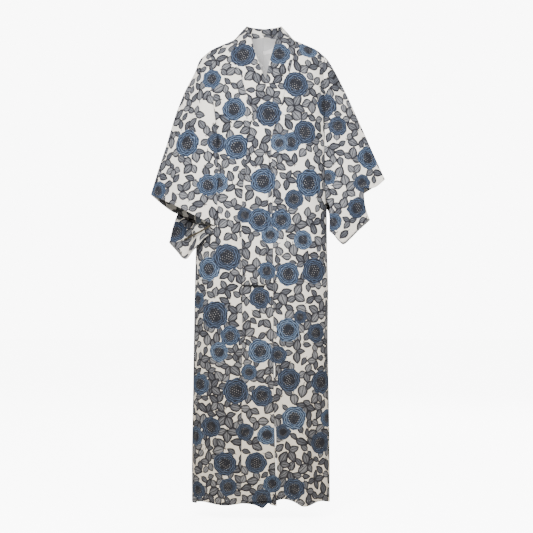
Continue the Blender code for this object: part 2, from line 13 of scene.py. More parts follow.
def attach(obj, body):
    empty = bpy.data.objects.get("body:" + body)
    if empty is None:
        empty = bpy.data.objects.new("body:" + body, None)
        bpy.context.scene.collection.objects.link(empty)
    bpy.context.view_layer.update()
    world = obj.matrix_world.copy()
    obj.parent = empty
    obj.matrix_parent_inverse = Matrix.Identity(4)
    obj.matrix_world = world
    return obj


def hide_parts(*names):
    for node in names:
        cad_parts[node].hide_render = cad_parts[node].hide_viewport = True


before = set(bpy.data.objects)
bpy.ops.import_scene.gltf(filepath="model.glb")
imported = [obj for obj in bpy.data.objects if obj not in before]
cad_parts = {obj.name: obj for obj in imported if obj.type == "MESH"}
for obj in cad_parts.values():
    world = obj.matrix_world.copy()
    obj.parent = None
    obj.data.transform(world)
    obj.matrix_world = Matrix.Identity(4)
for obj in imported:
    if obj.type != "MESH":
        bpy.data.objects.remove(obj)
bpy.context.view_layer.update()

# Driving sizes
HOLD_HEIGHT = 1420.0
SEAM_GAP = 0.5
NECK_SEAM_GAP = 1.7
BACK_SEAM_TURN = 0.25 / 300
SIDE_SEAM_TURN = 0.3 / 150
SHAPE = 2.4
CHEST_LEVEL = 1149
ARM_LEVEL = 1150.0
COLLAR_END = 685.0
STRIP_END = 1140
NECK_LEAVE = (1298, 60)
NECK_ROLL = 3.0
HEM_REACH = 420
LAYER_STEP = 6.5
LAYER_FADE = (36, 26)
COLLAR_LIFT = 1.5
BAG_LAYERS = 5.0
BACK_NECK_ANGLE = 20.0
SLEEVE_CLEAR = 0.25
NECK_HALF_WIDTH = 100.0
FOLD_RADIUS = 165
FOLD_FADES = (0.55, 0.35)
SIDE_SWELL = 0.35
SHOULDER_RISE = 275
ARM_EASE = 0.4
CUFF_START = 0.72
STATION_POWER = 1.15
SLEEVE_FRONT_DROP = 12
SLEEVE_BACK_FULL = (18, 34)
BAG_FRONT_FULL = (-7.0, 14.0)
BAG_BACK_FULL = (10.0, 9.0)

# Counts
ACROSS_BODY = 12
ACROSS_GORE = 4
ACROSS_COLLAR = 4
SLEEVE_STATIONS = 13
SLEEVE_COUNTS = (11, 8, 11)
BAG_ROWS = 5
ROW_SAMPLES = 36

# Body sections: height, centre, half width, front depth, back depth
TORSO = [(0, -11, 219, 128, 122), (157, -11, 219, 125, 120), (317, -10, 217, 122, 118),
         (509, -10, 214, 120, 116), (669, -8, 213, 118, 114), (781, -8, 210, 117, 112),
         (960, -6, 206, 116, 110), (1060, -4, 203, 117, 110), (1150, -3, 201, 118, 110)]

# Shoulder line: distance from the middle, height
SHOULDER = [(0, 1500), (50, 1490), (99, 1466), (125, 1455), (160, 1440), (180, 1427), (201, 1404),
            (230, 1370)]

# Rows of the body lengths below the arm
HEIGHTS = [0, 16, 50, 100, 165, 240, 325, 415, 505, 595, 650, 685, 735, 795, 855, 915, 975, 1030, 1080,
           1120, 1150]

# Rows over the shoulder, as angles from the arm level to the shoulder line, and those that the neckband
# passes over in front, so that its turn at the neck stays even
RISES = [0, 2.5, 6, 11, 18, 26, 36, 48, 60, 70, 70.7, 73, 77, 81, 85, 90]
COLLAR_SKIPS = (70.7, 73, 81, 85)

# Side seams: height, seam angle of the right body, seam angle of the left body
SIDE_SEAM = [(0, 65, 93), (600, 65, 93), (900, 70, 92), (1150, 82, 88)]

# Armhole edge: rise, then the angle in front and behind for the right body and for the left body
ARMHOLE = [(0, 82, 82, 88, 88), (2.5, 76, 88, 84, 95), (6, 66, 96, 80, 104), (11, 56, 101, 77, 112),
           (18, 50, 105, 75, 118), (36, 48, 108, 73, 122), (60, 52, 113, 68, 121), (90, 61, 119, 60.5, 119.5)]

# Front edges of the bodies: height, x. Each is the gore seam, then the collar seam. The left one is on top
FRONT_EDGE = {
    1: [(-10, 39), (133, 35), (327, 31), (546, 30), (686, 29), (905, 28), (1046, 26), (1149, 23), (1199, 33),
        (1247, 52), (1298, 66), (1343, 77), (1383, 87), (1425, 95), (1466, 101)],
    -1: [(-10, -56), (171, -54), (327, -53), (546, -47), (686, -44), (905, -34), (1014, -25), (1149, -14),
         (1199, -25), (1247, -41), (1298, -56), (1343, -71), (1383, -82), (1425, -92), (1466, -99)],
}

# Collar seam on the gores: height, x on the left gore, x on the right gore
GORE_COLLAR_SEAM = [(685, -1, 13), (758, 2, 10), (858, 8, 6), (936, 10, 5), (1014, 13, 0), (1093, 17, -6),
                    (1149, 23, -14)]

# Free front edges of the gores below the collar: height, x left, x right
GORE_FREE_EDGE = [(-10, -72, 39), (171, -70, 47), (327, -69, 60), (546, -68, 72), (685, -67, 78)]

# Free edge of the collar: height of its seam, free x, free height, free y where it leaves the chest
COLLAR_EDGE = {
    1: [(685, -67, 686, 0), (758, -68, 758, 0), (858, -70, 861, 0), (936, -69, 942, 0), (1014, -61, 1027, 0),
        (1093, -53, 1108, 0), (1149, -45, 1168, 0), (1199, -31, 1218, 0), (1247, -12, 1266, 0),
        (1298, 1, 1314, 0), (1343, 11, 1358, -103), (1383, 21, 1400, -91), (1425, 33, 1445, -66),
        (1466, 49, 1494, -27)],
    -1: [(685, 78, 686, 0), (758, 78, 758, 0), (858, 77, 861, 0), (936, 74, 942, 0), (1014, 69, 1027, 0),
         (1093, 61, 1108, 0), (1149, 52, 1171, 0), (1199, 38, 1224, 0), (1247, 22, 1272, 0),
         (1298, 8, 1325, 0), (1343, -9, 1362, -98), (1383, -24, 1406, -88), (1425, -37, 1452, -64),
         (1466, -48, 1496, -27)],
}

# Free edge of the collar behind the neck: turn from the shoulder to the middle of the back, x, y, height
NECK_TOP = [(0, 49, -27, 1494), (12, 54, -5, 1508), (25, 55, 16, 1515), (45, 46, 48, 1517),
            (65, 27, 72, 1517), (90, 0, 86, 1516)]

# Hem heights of the upper front, the lower front and the back: x, height
FRONT_HEM = {
    1: [(-72, 4), (-40, 8), (0, 12), (39, 13), (53, 16), (69, 16), (94, 8), (110, -1), (125, -8), (144, -5),
        (175, 4), (208, -3)],
    -1: [(-230, -6), (-200, 3), (-166, 1), (-126, -3), (-90, 0), (-72, 3), (-44, 2), (-20, -4), (2.6, -11),
         (3.4, 5), (20, 0), (39, -5)],
}
BACK_HEM = [(-230, -6), (-150, 3), (-70, -4), (10, 3), (90, -3), (160, 4), (208, -3)]

# Soft folds: angle at the lower end, angle at the upper end, lower height, upper height, width, depth
FOLDS = [(34, 24, -20, 420, 26, 9), (19, 17, -20, 300, 20, -7), (58, 50, -20, 520, 30, -6),
         (76, 72, -20, 460, 24, 5), (-33, -27, -20, 380, 24, 5), (-50, -46, -20, 470, 26, -5),
         (-21, -22, 60, 620, 12, -3), (112, 116, -20, 520, 30, 7), (138, 140, -20, 620, 34, -6),
         (160, 158, -20, 480, 28, 6), (-110, -114, -20, 540, 30, 6), (-136, -140, -20, 480, 32, -6),
         (-161, -157, -20, 600, 28, 5), (56, 40, 760, 1120, 24, 4), (-40, -30, 780, 1120, 24, 4),
         (128, 150, 760, 1140, 34, 6), (-128, -150, 780, 1120, 34, 5)]

# Sleeves: station, top fold x, y, height, front crease height, underarm height, back crease height,
# front crease angle, its clearance, back crease angle, its clearance
SLEEVE = {
    -1: [
        (0.00, -183, 0, 1427, 1254, 1150, 1254, 50, 0, 105, 0),
        (0.06, -203, 0, 1404, 1231, 1134, 1230, 47, 8, 106, 6),
        (0.16, -226, 0, 1356, 1191, 1108, 1190, 43, 13, 108, 10),
        (0.30, -254, 0, 1301, 1138, 1069, 1136, 40, 17, 109, 12),
        (0.45, -283, 0, 1227, 1081, 1029, 1081, 39, 18, 109, 13),
        (0.62, -310, 0, 1138, 1016, 986, 1020, 38, 18, 108, 14),
        (0.80, -336, 0, 1060, 947, 935, 955, 38, 17, 106, 14),
        (1.00, -362, 0, 974, 871, 880, 890, 40, 16, 103, 14),
    ],
    1: [
        (0.00, 176, 0, 1429, 1250, 1150, 1250, 75, 0, 118, 0),
        (0.06, 203, 0, 1404, 1232, 1136, 1230, 74, 6, 117, 6),
        (0.16, 233, 0, 1354, 1202, 1116, 1196, 73, 9, 115, 9),
        (0.30, 264, 2, 1293, 1160, 1084, 1152, 72, 10, 113, 10),
        (0.45, 296, 3, 1224, 1115, 1052, 1104, 71, 11, 112, 11),
        (0.62, 331, 4, 1147, 1064, 1018, 1050, 71, 12, 111, 12),
        (0.80, 361, 4, 1080, 1012, 978, 995, 72, 12, 110, 12),
        (1.00, 387, 4, 1023, 957, 936, 938, 74, 12, 108, 12),
    ],
}

# How the cuff's edge rises, in front and behind: share of the way from fold to crease, height
CUFF_EDGE = {
    1: ([(0, 0), (0.15, -15), (0.27, -12), (0.42, -3), (1, 0)],
        [(0, 0), (0.35, -14), (0.63, -16), (0.85, -8), (1, 0)]),
    -1: ([(0, 0), (0.5, 3), (1, 0)],
         [(0, 0), (0.3, -8), (0.55, -16), (0.8, -10), (1, 0)]),
}

# Sleeve bags: points of the cuff in front and behind that carry them, how far they bow in, and the lower
# edge as place along it, x, y, height
BAG_FRONT = {1: list(range(4, 12)), -1: list(range(24, 11, -1))}
BAG_BACK = list(range(26, 18, -1))
BAG_BOW = {1: 6.0, -1: 3.0}
BAG_EDGE = {
    1: [(0.00, 338, -2, 893), (0.28, 299, -12, 858), (0.60, 249, -22, 814), (0.78, 231, -30, 836),
        (1.00, 206, -44, 856)],
    -1: [(0.00, -303, 12, 819), (0.20, -278, -20, 793), (0.38, -252, -46, 768), (0.50, -232, -66, 789),
         (0.62, -212, -82, 811), (0.78, -192, -94, 833), (1.00, -162, -106, 853)],
}


def hermite(t):
    """Weights of a smooth curve's start, slope at the start, end and slope at the end."""
    return 2 * t ** 3 - 3 * t ** 2 + 1, t ** 3 - 2 * t ** 2 + t, 3 * t ** 2 - 2 * t ** 3, t ** 3 - t ** 2


def row_at(table, key):
    """Values of a table's other columns at a key, on a smooth curve through the rows."""
    last = len(table) - 1
    if key <= table[0][0]:
        return table[0][1:]
    if key >= table[last][0]:
        return table[last][1:]
    i = next(k for k in range(last) if key <= table[k + 1][0])
    before, start, end, after = table[max(i - 1, 0)], table[i], table[i + 1], table[min(i + 2, last)]
    span = end[0] - start[0]
    a, b, c, d = hermite((key - start[0]) / span)
    return [a * start[n] + b * span * (end[n] - before[n]) / (end[0] - before[0])
            + c * end[n] + d * span * (after[n] - start[n]) / (after[0] - start[0])
            for n in range(1, len(start))]


def smooth(value):
    """Soft step from 0 to 1."""
    value = max(0.0, min(1.0, value))
    return value * value * (3 - 2 * value)


def power(value, exponent):
    """Power that keeps the sign."""
    return math.copysign(abs(value) ** exponent, value)


def relief(turn, height):
    """How far the soft folds stand out from the body."""
    angle = math.remainder(math.degrees(turn), 360)
    total = 0.0
    for low_angle, high_angle, low, high, width, depth in FOLDS:
        centre = low_angle + (high_angle - low_angle) * (height - low) / (high - low)
        away = math.radians(angle - centre) * FOLD_RADIUS / width
        if abs(away) <= 3:
            fade = smooth((high - height) / (FOLD_FADES[0] * (high - low)))
            if low > 0:
                fade *= smooth((height - low) / (FOLD_FADES[1] * (high - low)))
            total += depth * fade * math.exp(-away * away)
    return total


def tuck(x, height):
    """How far the lower front is set in under the upper front."""
    if height < COLLAR_END:
        free_x = row_at(GORE_FREE_EDGE, height)[0]
    else:
        free_x = row_at([(row[2], row[1]) for row in COLLAR_EDGE[1]], height)[0]
    return LAYER_STEP * smooth((x - free_x + LAYER_FADE[0]) / LAYER_FADE[1])


def body_point(turn, height, rise, under, grow=0.0):
    """Point of the body form. A rise above 0 is over the arm level, up to 90 on the shoulder line."""
    centre, half, front, back = row_at(TORSO, height)
    sine = math.sin(turn)
    cosine = math.cos(turn)
    x = centre + half * power(sine, 2 / SHAPE)
    swell = relief(turn, height) + grow
    close = 1.0
    if rise > 0:
        close = math.cos(math.radians(rise)) ** (2 / SHAPE) if rise < 90 else 0.0
        lift = math.sin(math.radians(rise)) ** (2 / SHAPE)
        height = ARM_LEVEL + (row_at(SHOULDER, abs(x))[0] - ARM_LEVEL) * lift
        swell = relief(turn, height) * close
    if under and cosine > 0:
        swell -= tuck(x, height) * min(1.0, close * 1.5)
    x += sine * (SIDE_SWELL + (1 - SIDE_SWELL) * 10 * max(0.0, abs(sine) - 0.9)) * swell
    depth = front if cosine > 0 else back
    return np.array([x, -(depth * power(cosine, 2 / SHAPE) * close + cosine * swell), height])


def turn_for_x(x, height, back=False):
    centre, half = row_at(TORSO, height)[:2]
    turn = math.asin(power(max(-1.0, min(1.0, (x - centre) / half)), SHAPE / 2))
    return math.copysign(math.pi, turn) - turn if back else turn


def chest_point(x, height, under, lift=0.0):
    """Point of the front at a given x and height."""
    turn = turn_for_x(x, min(height, ARM_LEVEL))
    if height <= ARM_LEVEL:
        return np.array([x, body_point(turn, height, 0, under, lift)[1], height])
    share = min(0.9999, (height - ARM_LEVEL) / (row_at(SHOULDER, abs(x))[0] - ARM_LEVEL))
    rise = math.degrees(math.asin(share ** (SHAPE / 2)))
    return np.array([x, body_point(turn, ARM_LEVEL, rise, under)[1] - lift, height])


def hem_shift(x, height, table):
    """Height of a row after the hem's own line is blended in."""
    return height + row_at(table, x)[0] * smooth((HEM_REACH - height) / HEM_REACH)


def row_points(start, end, place):
    """Points evenly spaced along a row of a body length."""
    samples = [place(start + (end - start) * i / ROW_SAMPLES) for i in range(ROW_SAMPLES + 1)]
    total = lengths(np.array(samples), 0)
    even = np.linspace(0, total[-1], ACROSS_BODY + 1)
    shares = np.interp(even, total, np.arange(ROW_SAMPLES + 1) / ROW_SAMPLES)
    return [place(start + (end - start) * share) for share in shares]


def front_edge_turn(rise, side):
    """Angle where a row over the chest meets the collar seam."""
    low = 0.0
    high = math.radians(80)
    for _ in range(40):
        middle = (low + high) / 2
        x, _, height = body_point(side * middle, ARM_LEVEL, rise, False)
        if abs(x) < abs(row_at(FRONT_EDGE[side], max(height, CHEST_LEVEL))[0]):
            low = middle
        else:
            high = middle
    return high


def body_rows(side):
    """Rows of a body length, from the back hem over the shoulder to the front hem."""
    under = side < 0
    column = 1 if side > 0 else 0
    rows = []

    def low_row(height, first, slit, hem, below):
        seam = math.radians(row_at(SIDE_SEAM, height)[column]) + slit

        def place(turn):
            x = body_point(side * turn, height, 0, False)[0]
            return body_point(side * turn, hem_shift(x, height, hem), 0, below)
        rows.append(row_points(first, seam, place))

    def high_row(rise, first, behind, below):
        last = math.radians(row_at(ARMHOLE, rise)[2 * column + behind])
        rows.append(row_points(first, last, lambda turn: body_point(side * turn, ARM_LEVEL, rise, below)))
    for height in HEIGHTS:
        low_row(height, math.pi - BACK_SEAM_TURN, SIDE_SEAM_TURN, BACK_HEM, False)
    for rise in RISES[1:]:
        first = math.pi - BACK_SEAM_TURN
        if rise > 90 - BACK_NECK_ANGLE:
            x = NECK_HALF_WIDTH * math.sqrt(1 - ((90 - rise) / BACK_NECK_ANGLE) ** 2)
            first = abs(turn_for_x(side * max(0.4, x), ARM_LEVEL, True))
        high_row(rise, first, 1, False)
    for rise in reversed(RISES[1:-1]):
        high_row(rise, front_edge_turn(rise, side), 0, under)
    for height in reversed(HEIGHTS):
        first = turn_for_x(row_at(FRONT_EDGE[side], height)[0], height) * side
        low_row(height, first, -SIDE_SEAM_TURN, FRONT_HEM[side], under)
    return rows


def gore_rows(side):
    """Rows of a front gore: the wide part below the collar and the tapering strip beside it."""
    column = 0 if side > 0 else 1
    under = side < 0
    wide, strip = [], []
    for height in HEIGHTS:
        seam = row_at(FRONT_EDGE[side], height)[0] - side * SEAM_GAP
        collar = row_at(GORE_COLLAR_SEAM, height)[column]
        beside = list(np.linspace(collar, seam, ACROSS_GORE + 1))
        if height <= COLLAR_END:
            free = row_at(GORE_FREE_EDGE, height)[column]
            row = list(np.linspace(free, collar, ACROSS_GORE + 1))[:-1] + beside
            wide.append([chest_point(x, hem_shift(x, height, FRONT_HEM[side]), under) for x in row])
        if COLLAR_END <= height < STRIP_END:
            strip.append([chest_point(x, height, under) for x in beside])
    return wide, strip


def collar_half(side, body):
    """Stations of the neckband, from a lower end to near the middle of the back.

    Each has its seam point, its free point, the gap at the seam and how far it has left the chest."""
    under = side < 0
    column = 0 if side > 0 else 1
    table = COLLAR_EDGE[side]
    stations = []
    for height in [h for h in HEIGHTS if COLLAR_END <= h <= CHEST_LEVEL]:
        seam_x = row_at(GORE_COLLAR_SEAM, height)[column]
        free_x, free_height, _ = row_at(table, height)
        if height == COLLAR_END:
            height += SEAM_GAP
            free_height = height
        free = chest_point(free_x, free_height, under, COLLAR_LIFT)
        stations.append((chest_point(seam_x, height, under), free, SEAM_GAP, 0.0))
    count = len(RISES)
    for i, rise in enumerate(RISES[:-1]):
        if rise not in COLLAR_SKIPS:
            seam = body[2 * (count - 1) + len(HEIGHTS) - 1 - i][0]
            free_x, free_height, free_y = row_at(table, seam[2])
            leave = smooth((seam[2] - NECK_LEAVE[0]) / NECK_LEAVE[1])
            free = chest_point(free_x, free_height, under, COLLAR_LIFT)
            free[1] = free[1] * (1 - leave) + free_y * leave
            stations.append((seam, free, SEAM_GAP + (NECK_SEAM_GAP - SEAM_GAP) * leave, leave))
    for i, rise in enumerate(reversed(RISES)):
        if rise >= 90 - BACK_NECK_ANGLE:
            seam = body[len(HEIGHTS) + count - 2 - i][0]
            angle = math.degrees(math.asin(min(1.0, (90 - rise) / BACK_NECK_ANGLE)))
            if angle < 89:
                free = np.array(row_at(NECK_TOP, angle)) * (side, 1, 1)
                stations.append((seam, free, NECK_SEAM_GAP, 1.0))
    return stations


def collar_rows(bodies):
    """Cross rows of the neckband, from the lower end underneath to the lower end on top."""
    seam = bodies[1][len(HEIGHTS) - 1 + RISES.index(90 - BACK_NECK_ANGLE)][0] * (0, 1, 1)
    middle = (seam, np.array(row_at(NECK_TOP, 90)), NECK_SEAM_GAP, 1.0)
    groups = [(station, True) for station in collar_half(-1, bodies[-1])]
    groups += [(station, False) for station in [middle] + collar_half(1, bodies[1])[::-1]]
    rows = []
    for (seam, free, gap, leave), under in groups:
        first = gap / math.dist(seam, free)
        row = []
        for k in range(ACROSS_COLLAR + 1):
            t = first + (1 - first) * k / ACROSS_COLLAR
            point = seam + (free - seam) * t
            x, y, height = point
            roll = 1 + NECK_ROLL * math.sin(math.pi * t) * leave / (math.hypot(x, y) or 1.0)
            point = point * (roll, roll, 1)
            if leave < 1:
                flat = chest_point(x, height, under, COLLAR_LIFT * smooth(t * 3))
                point[1] = point[1] * leave + flat[1] * (1 - leave)
            row.append(point)
        rows.append(row)
    return rows


def clear_of_torso(point, margin):
    """Moves a point out to a clearance from the body."""
    x, y, height = point
    centre, half, front, back = row_at(TORSO, height)
    depth = (front if y < 0 else back) + relief(math.atan2(x - centre, -y), height)
    if height > ARM_LEVEL:
        share = min(0.98, (height - ARM_LEVEL) / SHOULDER_RISE)
        depth *= (1 - share ** SHAPE) ** (1 / SHAPE)
    inside = (abs(x - centre) / (half + margin)) ** SHAPE + (abs(y) / (depth + margin)) ** SHAPE
    if inside >= 1:
        return point
    scale = inside ** (-1 / SHAPE)
    return np.array([centre + (x - centre) * scale, y * scale, height])


def armhole_loop(body):
    """Points of the armhole edge: the shoulder, down the front, under the arm, up the back."""
    count = len(RISES)
    top = len(HEIGHTS) + count - 2
    rows = body[top:top + count] + body[len(HEIGHTS):len(HEIGHTS) + count - 2]
    return [row[-1] for row in rows]


def sleeve_shape(side, u, shares):
    """Loop of a sleeve at a station, before it is fitted to the armhole."""
    values = row_at(SLEEVE[side], u)
    fold = np.array(values[:3])
    front_height, under_height, back_height = values[3:6]
    front_turn, front_clear, back_turn, back_clear = values[6:]
    even = smooth(u / ARM_EASE)
    open_up = smooth(u * 2)
    at_cuff = smooth((u - CUFF_START) / (1 - CUFF_START))

    def inner(t):
        turn = math.radians(front_turn + (back_turn - front_turn) * t)
        dip = 1 - abs(2 * t - 1)
        outer = (front_clear if t < 0.5 else back_clear) * SLEEVE_CLEAR
        clear = outer + (min(outer, 8.0) - outer) * smooth(dip / 0.35)
        height = front_height + (back_height - front_height) * t
        height += (under_height - (front_height + back_height) / 2) * smooth(dip)
        x, y, _ = body_point(side * turn, min(height, ARM_LEVEL), 0, False) * 1.001
        return clear_of_torso(np.array([x, y, height]), clear)
    crease = inner(0)
    behind = inner(1)

    def front(f):
        point = fold + (crease - fold) * (f, 1 - (1 - f) ** 2.3, f)
        rise = row_at(CUFF_EDGE[side][0], f)[0] * at_cuff
        return point + (0, -SLEEVE_FRONT_DROP * math.sin(math.pi * f) * open_up, rise)

    def back(f):
        point = behind + (fold - behind) * f
        rise = row_at(CUFF_EDGE[side][1], f)[0] * at_cuff
        full = SLEEVE_BACK_FULL[0] + SLEEVE_BACK_FULL[1] * open_up
        return point + (0, full * math.sin(math.pi * min(1.0, f) ** 0.9), rise)
    loop = []
    for place, share, count in zip((front, inner, back), shares, SLEEVE_COUNTS):
        loop += [place(share[k] * (1 - even) + even * k / count) for k in range(count)]
    return loop


def sleeve_loops(side, body):
    """Loops of a sleeve from the armhole to the cuff."""
    rim = armhole_loop(body)
    cuts = np.cumsum((0,) + SLEEVE_COUNTS)
    places = [lengths(np.array((rim + rim[:1])[i:j + 1]), 0) for i, j in zip(cuts, cuts[1:])]
    shares = [place / place[-1] for place in places]
    start = sleeve_shape(side, 0.0, shares)
    loops = [rim]
    for s in range(1, SLEEVE_STATIONS):
        u = (s / (SLEEVE_STATIONS - 1)) ** STATION_POWER
        shape = sleeve_shape(side, u, shares)
        keep = 1 - smooth(u / ARM_EASE)
        clear = 1.2 + 0.6 * smooth(u / 0.15)
        loops.append([clear_of_torso(p + (r - q) * keep, clear) for p, q, r in zip(shape, start, rim)])
    return loops


def bag_rows(side, cuff):
    """Rows of a sleeve bag below the cuff's own points: down the front, then up the back."""
    front = BAG_FRONT[side]
    last = len(front) - 1
    edge = [np.array(row_at(BAG_EDGE[side], k / last)) for k in range(last + 1)]

    def bowed(starts, ends, t, out, clear):
        wave = math.sin(math.pi * t)
        row = []
        for k in range(last + 1):
            share = k / last
            bow = (-BAG_BOW[side] * wave * (1 - share) ** 2, out * wave * math.sin(math.pi * share), 0)
            row.append(clear_of_torso(starts[k] + (ends[k] - starts[k]) * t + bow, clear))
        return row
    top = [cuff[j] for j in front]
    rows = [bowed(top, edge, r / BAG_ROWS, *BAG_FRONT_FULL) for r in range(1, BAG_ROWS + 1)]
    if side > 0:
        low = [point + (0, 3.0, 0.5) for point in rows[-1]]
        high = [cuff[j] for j in BAG_BACK]
        return rows + [bowed(low, high, r / BAG_ROWS, *BAG_BACK_FULL) for r in range(1, BAG_ROWS)] + [high]
    layer = np.array([top] + rows)
    away = grid_normals(layer)
    away *= np.where(away[..., 1:2] < 0, -1.0, 1.0)
    return rows + list((layer + away * BAG_LAYERS + (0, 0, 1.0))[BAG_ROWS:1:-1])


# Looks
CELL = 5.0
CLOTH = 1.0
COLLAR_CLOTH = 2.0
CAMERA_DISTANCE = 5000.0
CAMERA_HEIGHT = 744.0
CAMERA_X = 8.0
PIXEL = 3.2
FRAME = 533
BACKDROP = 9.0
FLOOR_HALF = 12000.0
FLOOR_LEVEL = -50.0
COLLAR_FRONT = -20.0
COLLAR_TUCK = 2.4
BACK_SEAM_REACH = 16
CREASE_PARTS = 32

# Print: sizes, spacings and how far a motif leans from the cloth's own direction to the camera's
ANY_TURN = 6.28
FLOWER_GAP = 15
FLOWER_SIZES = (33, 45)
FLOWER_LEAN = 0.6
LEAF_LEAN = 0.25
LEAF_HALF = (14.0, 21.5)
LEAF_WIDE = 0.82
LEAF_SPACING = 18.0
SINGLE_SPACING = 22.5
KNOT_SPACING = 37.0
LAYER_SPACING = 39.0
LEAF_LAYERS = 5
REACH = 1.35
FAR = 9e5

# A motif's half size in its own coordinates, and the least cosine between what lies on one side of the cloth
MOTIF_HALF = 0.3
SAME_SIDE = -0.2
CELL_FACES = 0.15

# Sewing
HEM_BAND = (0.4, 3.5, 7.0)
SEAM_RIDGE = (0.6, 2.6, 4.4)
HEM_STITCHES = 17.0
CUFF_STITCHES = 9.0

# Painted shadow on the cloth under the right cuff's front edge: photo x, lower and upper end. On the sleeve's
# tube it starts at an x
PAINTED_CUFF_SHADOW = [(165, 207, 190), (176, 213.5, 208), (182, 217.5, 211), (190, 221.5, 215.5), (199, 225, 220.3),
              (209, 227, 225.5)]
PAINTED_CUFF_SHADOW_ON_TUBE = 189

# Where the front seam's plain ridge shows: lower and upper end
RIDGES = [(392, 446), (176, 246), (92, 150)]

# Flat width, length and area of each cut, in metres
FLAT = {
    "body_left": (0.28, 3.03, 0.70),
    "body_right": (0.35, 3.04, 0.70),
    "gore_left": (0.11, 1.11, 0.076),
    "gore_right": (0.122, 1.12, 0.092),
    "collar": (0.082, 1.95, 0.133),
    "sleeve_left": (0.63, 0.51, 0.19),
    "sleeve_right": (0.66, 0.51, 0.243),
}

# Main flowers on the front, charted one by one: place across and down in the photo's frame, radius, tone
# (0 light, 1 middle, 2 dark)
FRONT_FLOWERS = [
    (243, 55, 13, 2), (279, 54, 12, 1), (212, 79, 10, 1), (296, 84, 13, 2), (308, 50, 10, 0),
    (234, 109, 12, 1), (269, 114, 13, 2), (325, 106, 12, 2), (338, 126, 10, 2), (305, 132, 12, 2),
    (291, 142, 10, 1), (187, 143, 14, 1), (237, 147, 13, 1), (217, 143, 10, 2), (279, 143, 9, 0),
    (368, 158, 12, 1), (208, 185, 11, 1), (219, 183, 10, 0), (263, 181, 13, 1), (309, 183, 14, 1),
    (294, 199, 10, 2), (328, 177, 8, 1), (158, 191, 10, 1), (362, 183, 9, 2), (260, 220, 12, 1),
    (281, 220, 11, 1), (270, 235, 9, 0), (245, 215, 8, 2), (357, 208, 11, 2), (333, 222, 9, 1),
    (175, 232, 12.5, 2), (227, 257, 14, 2), (209, 269, 12, 0), (303, 240, 10, 0), (314, 271, 13, 2),
    (288, 274, 12, 1), (267, 271, 9, 1), (260, 298, 11, 2), (215, 315, 14, 2), (230, 336, 10, 1),
    (219, 352, 10, 0), (288, 330, 12, 0), (316, 333, 10, 2), (260, 351, 12, 0), (278, 355, 9, 2),
    (200, 384, 11, 1), (236, 391, 13, 2), (262, 396, 11, 2), (249, 372, 8, 1), (289, 380, 12, 2),
    (321, 382, 12, 2), (294, 418, 12, 0), (327, 418, 9, 1), (211, 427, 11, 2), (195, 436, 10, 1),
    (267, 435, 10, 0), (245, 432, 9, 2), (283, 432, 8, 2), (320, 443, 11, 2), (225, 464, 12, 2),
    (256, 463, 11, 2), (228, 487, 9, 2), (294, 489, 11, 2), (262, 499, 10, 2), (272, 484, 9, 1),
    (198, 490, 9, 2), (197, 300, 9, 1), (300, 317, 7, 2),
]

# Creases laid on the bodies and on the sleeves: front (1) or back (-1), then x and height at the
# start, the middle and the end, width, depth. A negative depth is a ridge
BODY_CREASES = [
    (1, -150, 1292, -98, 1232, -62, 1150, 13, 2.6), (1, -168, 1122, -118, 1098, -56, 1076, 15, 2.2),
    (1, -165, 1240, -150, 1160, -158, 1080, 9, 2.4), (1, -152, 905, -120, 800, -130, 690, 17, 3.0),
    (1, -122, 560, -121, 495, -123, 430, 6, 2.2), (1, -42, 850, -56, 705, -47, 560, 13, -2.0),
    (1, -192, 430, -178, 260, -188, 80, 15, 3.2), (1, -104, 340, -92, 180, -99, 18, 13, 2.8),
    (1, -20, 250, -27, 130, -20, 16, 10, -2.2), (1, 152, 1302, 112, 1232, 72, 1158, 13, 2.4),
    (1, 184, 1092, 132, 1074, 62, 1052, 15, 2.0), (1, 172, 965, 149, 822, 160, 700, 17, 3.0),
    (1, 96, 705, 84, 560, 92, 430, 13, -2.2), (1, 182, 385, 164, 205, 173, 34, 15, 3.0),
    (1, 58, 310, 68, 150, 60, 18, 11, 2.6), (1, 118, 560, 126, 440, 119, 330, 14, 2.0),
    (-1, -92, 1350, -74, 1230, -84, 1090, 17, 3.6), (-1, 84, 1340, 70, 1240, 82, 1120, 16, 3.2),
    (-1, -158, 1180, -96, 1130, -24, 1104, 15, 2.6), (-1, 160, 1160, 104, 1118, 42, 1096, 15, 2.4),
    (-1, -60, 960, -76, 800, -64, 640, 18, -3.0), (-1, 66, 900, 54, 745, 64, 590, 18, 3.0),
    (-1, -126, 520, -112, 330, -122, 60, 17, 3.4), (-1, 20, 470, 30, 260, 22, 30, 14, -2.6),
    (-1, 128, 560, 116, 330, 126, 40, 17, 3.2),
]
SLEEVE_CREASES = [
    (1, 214, 1336, 248, 1232, 284, 1128, 15, 3.6), (1, 226, 1186, 276, 1122, 334, 1062, 13, 3.2),
    (1, 212, 1086, 246, 1012, 302, 948, 13, 3.2), (1, 300, 1130, 334, 1064, 352, 1004, 12, -2.4),
    (1, 214, 985, 236, 930, 264, 878, 11, 2.6), (1, -204, 1334, -236, 1222, -266, 1108, 15, 3.6),
    (1, -182, 1186, -232, 1112, -304, 1038, 13, 3.2), (1, -170, 1066, -216, 992, -284, 930, 13, 3.0),
    (1, -290, 1130, -318, 1050, -340, 985, 12, -2.4), (1, -226, 920, -197, 903, -170, 885, 6, 2.2),
    (1, -196, 855, -226, 843, -255, 831, 6, 2.4), (-1, 216, 1320, 250, 1220, 290, 1110, 16, 3.8),
    (-1, 222, 1140, 268, 1070, 328, 1000, 14, 3.4), (-1, 240, 1010, 276, 960, 318, 930, 12, 2.6),
    (-1, -206, 1320, -240, 1214, -276, 1104, 16, 3.8), (-1, -200, 1130, -244, 1052, -306, 984, 14, 3.2),
    (-1, -210, 980, -246, 920, -286, 880, 12, 2.6),
]


def unit(vectors):
    return vectors / (np.linalg.norm(vectors, axis=-1, keepdims=True) + 1e-9)


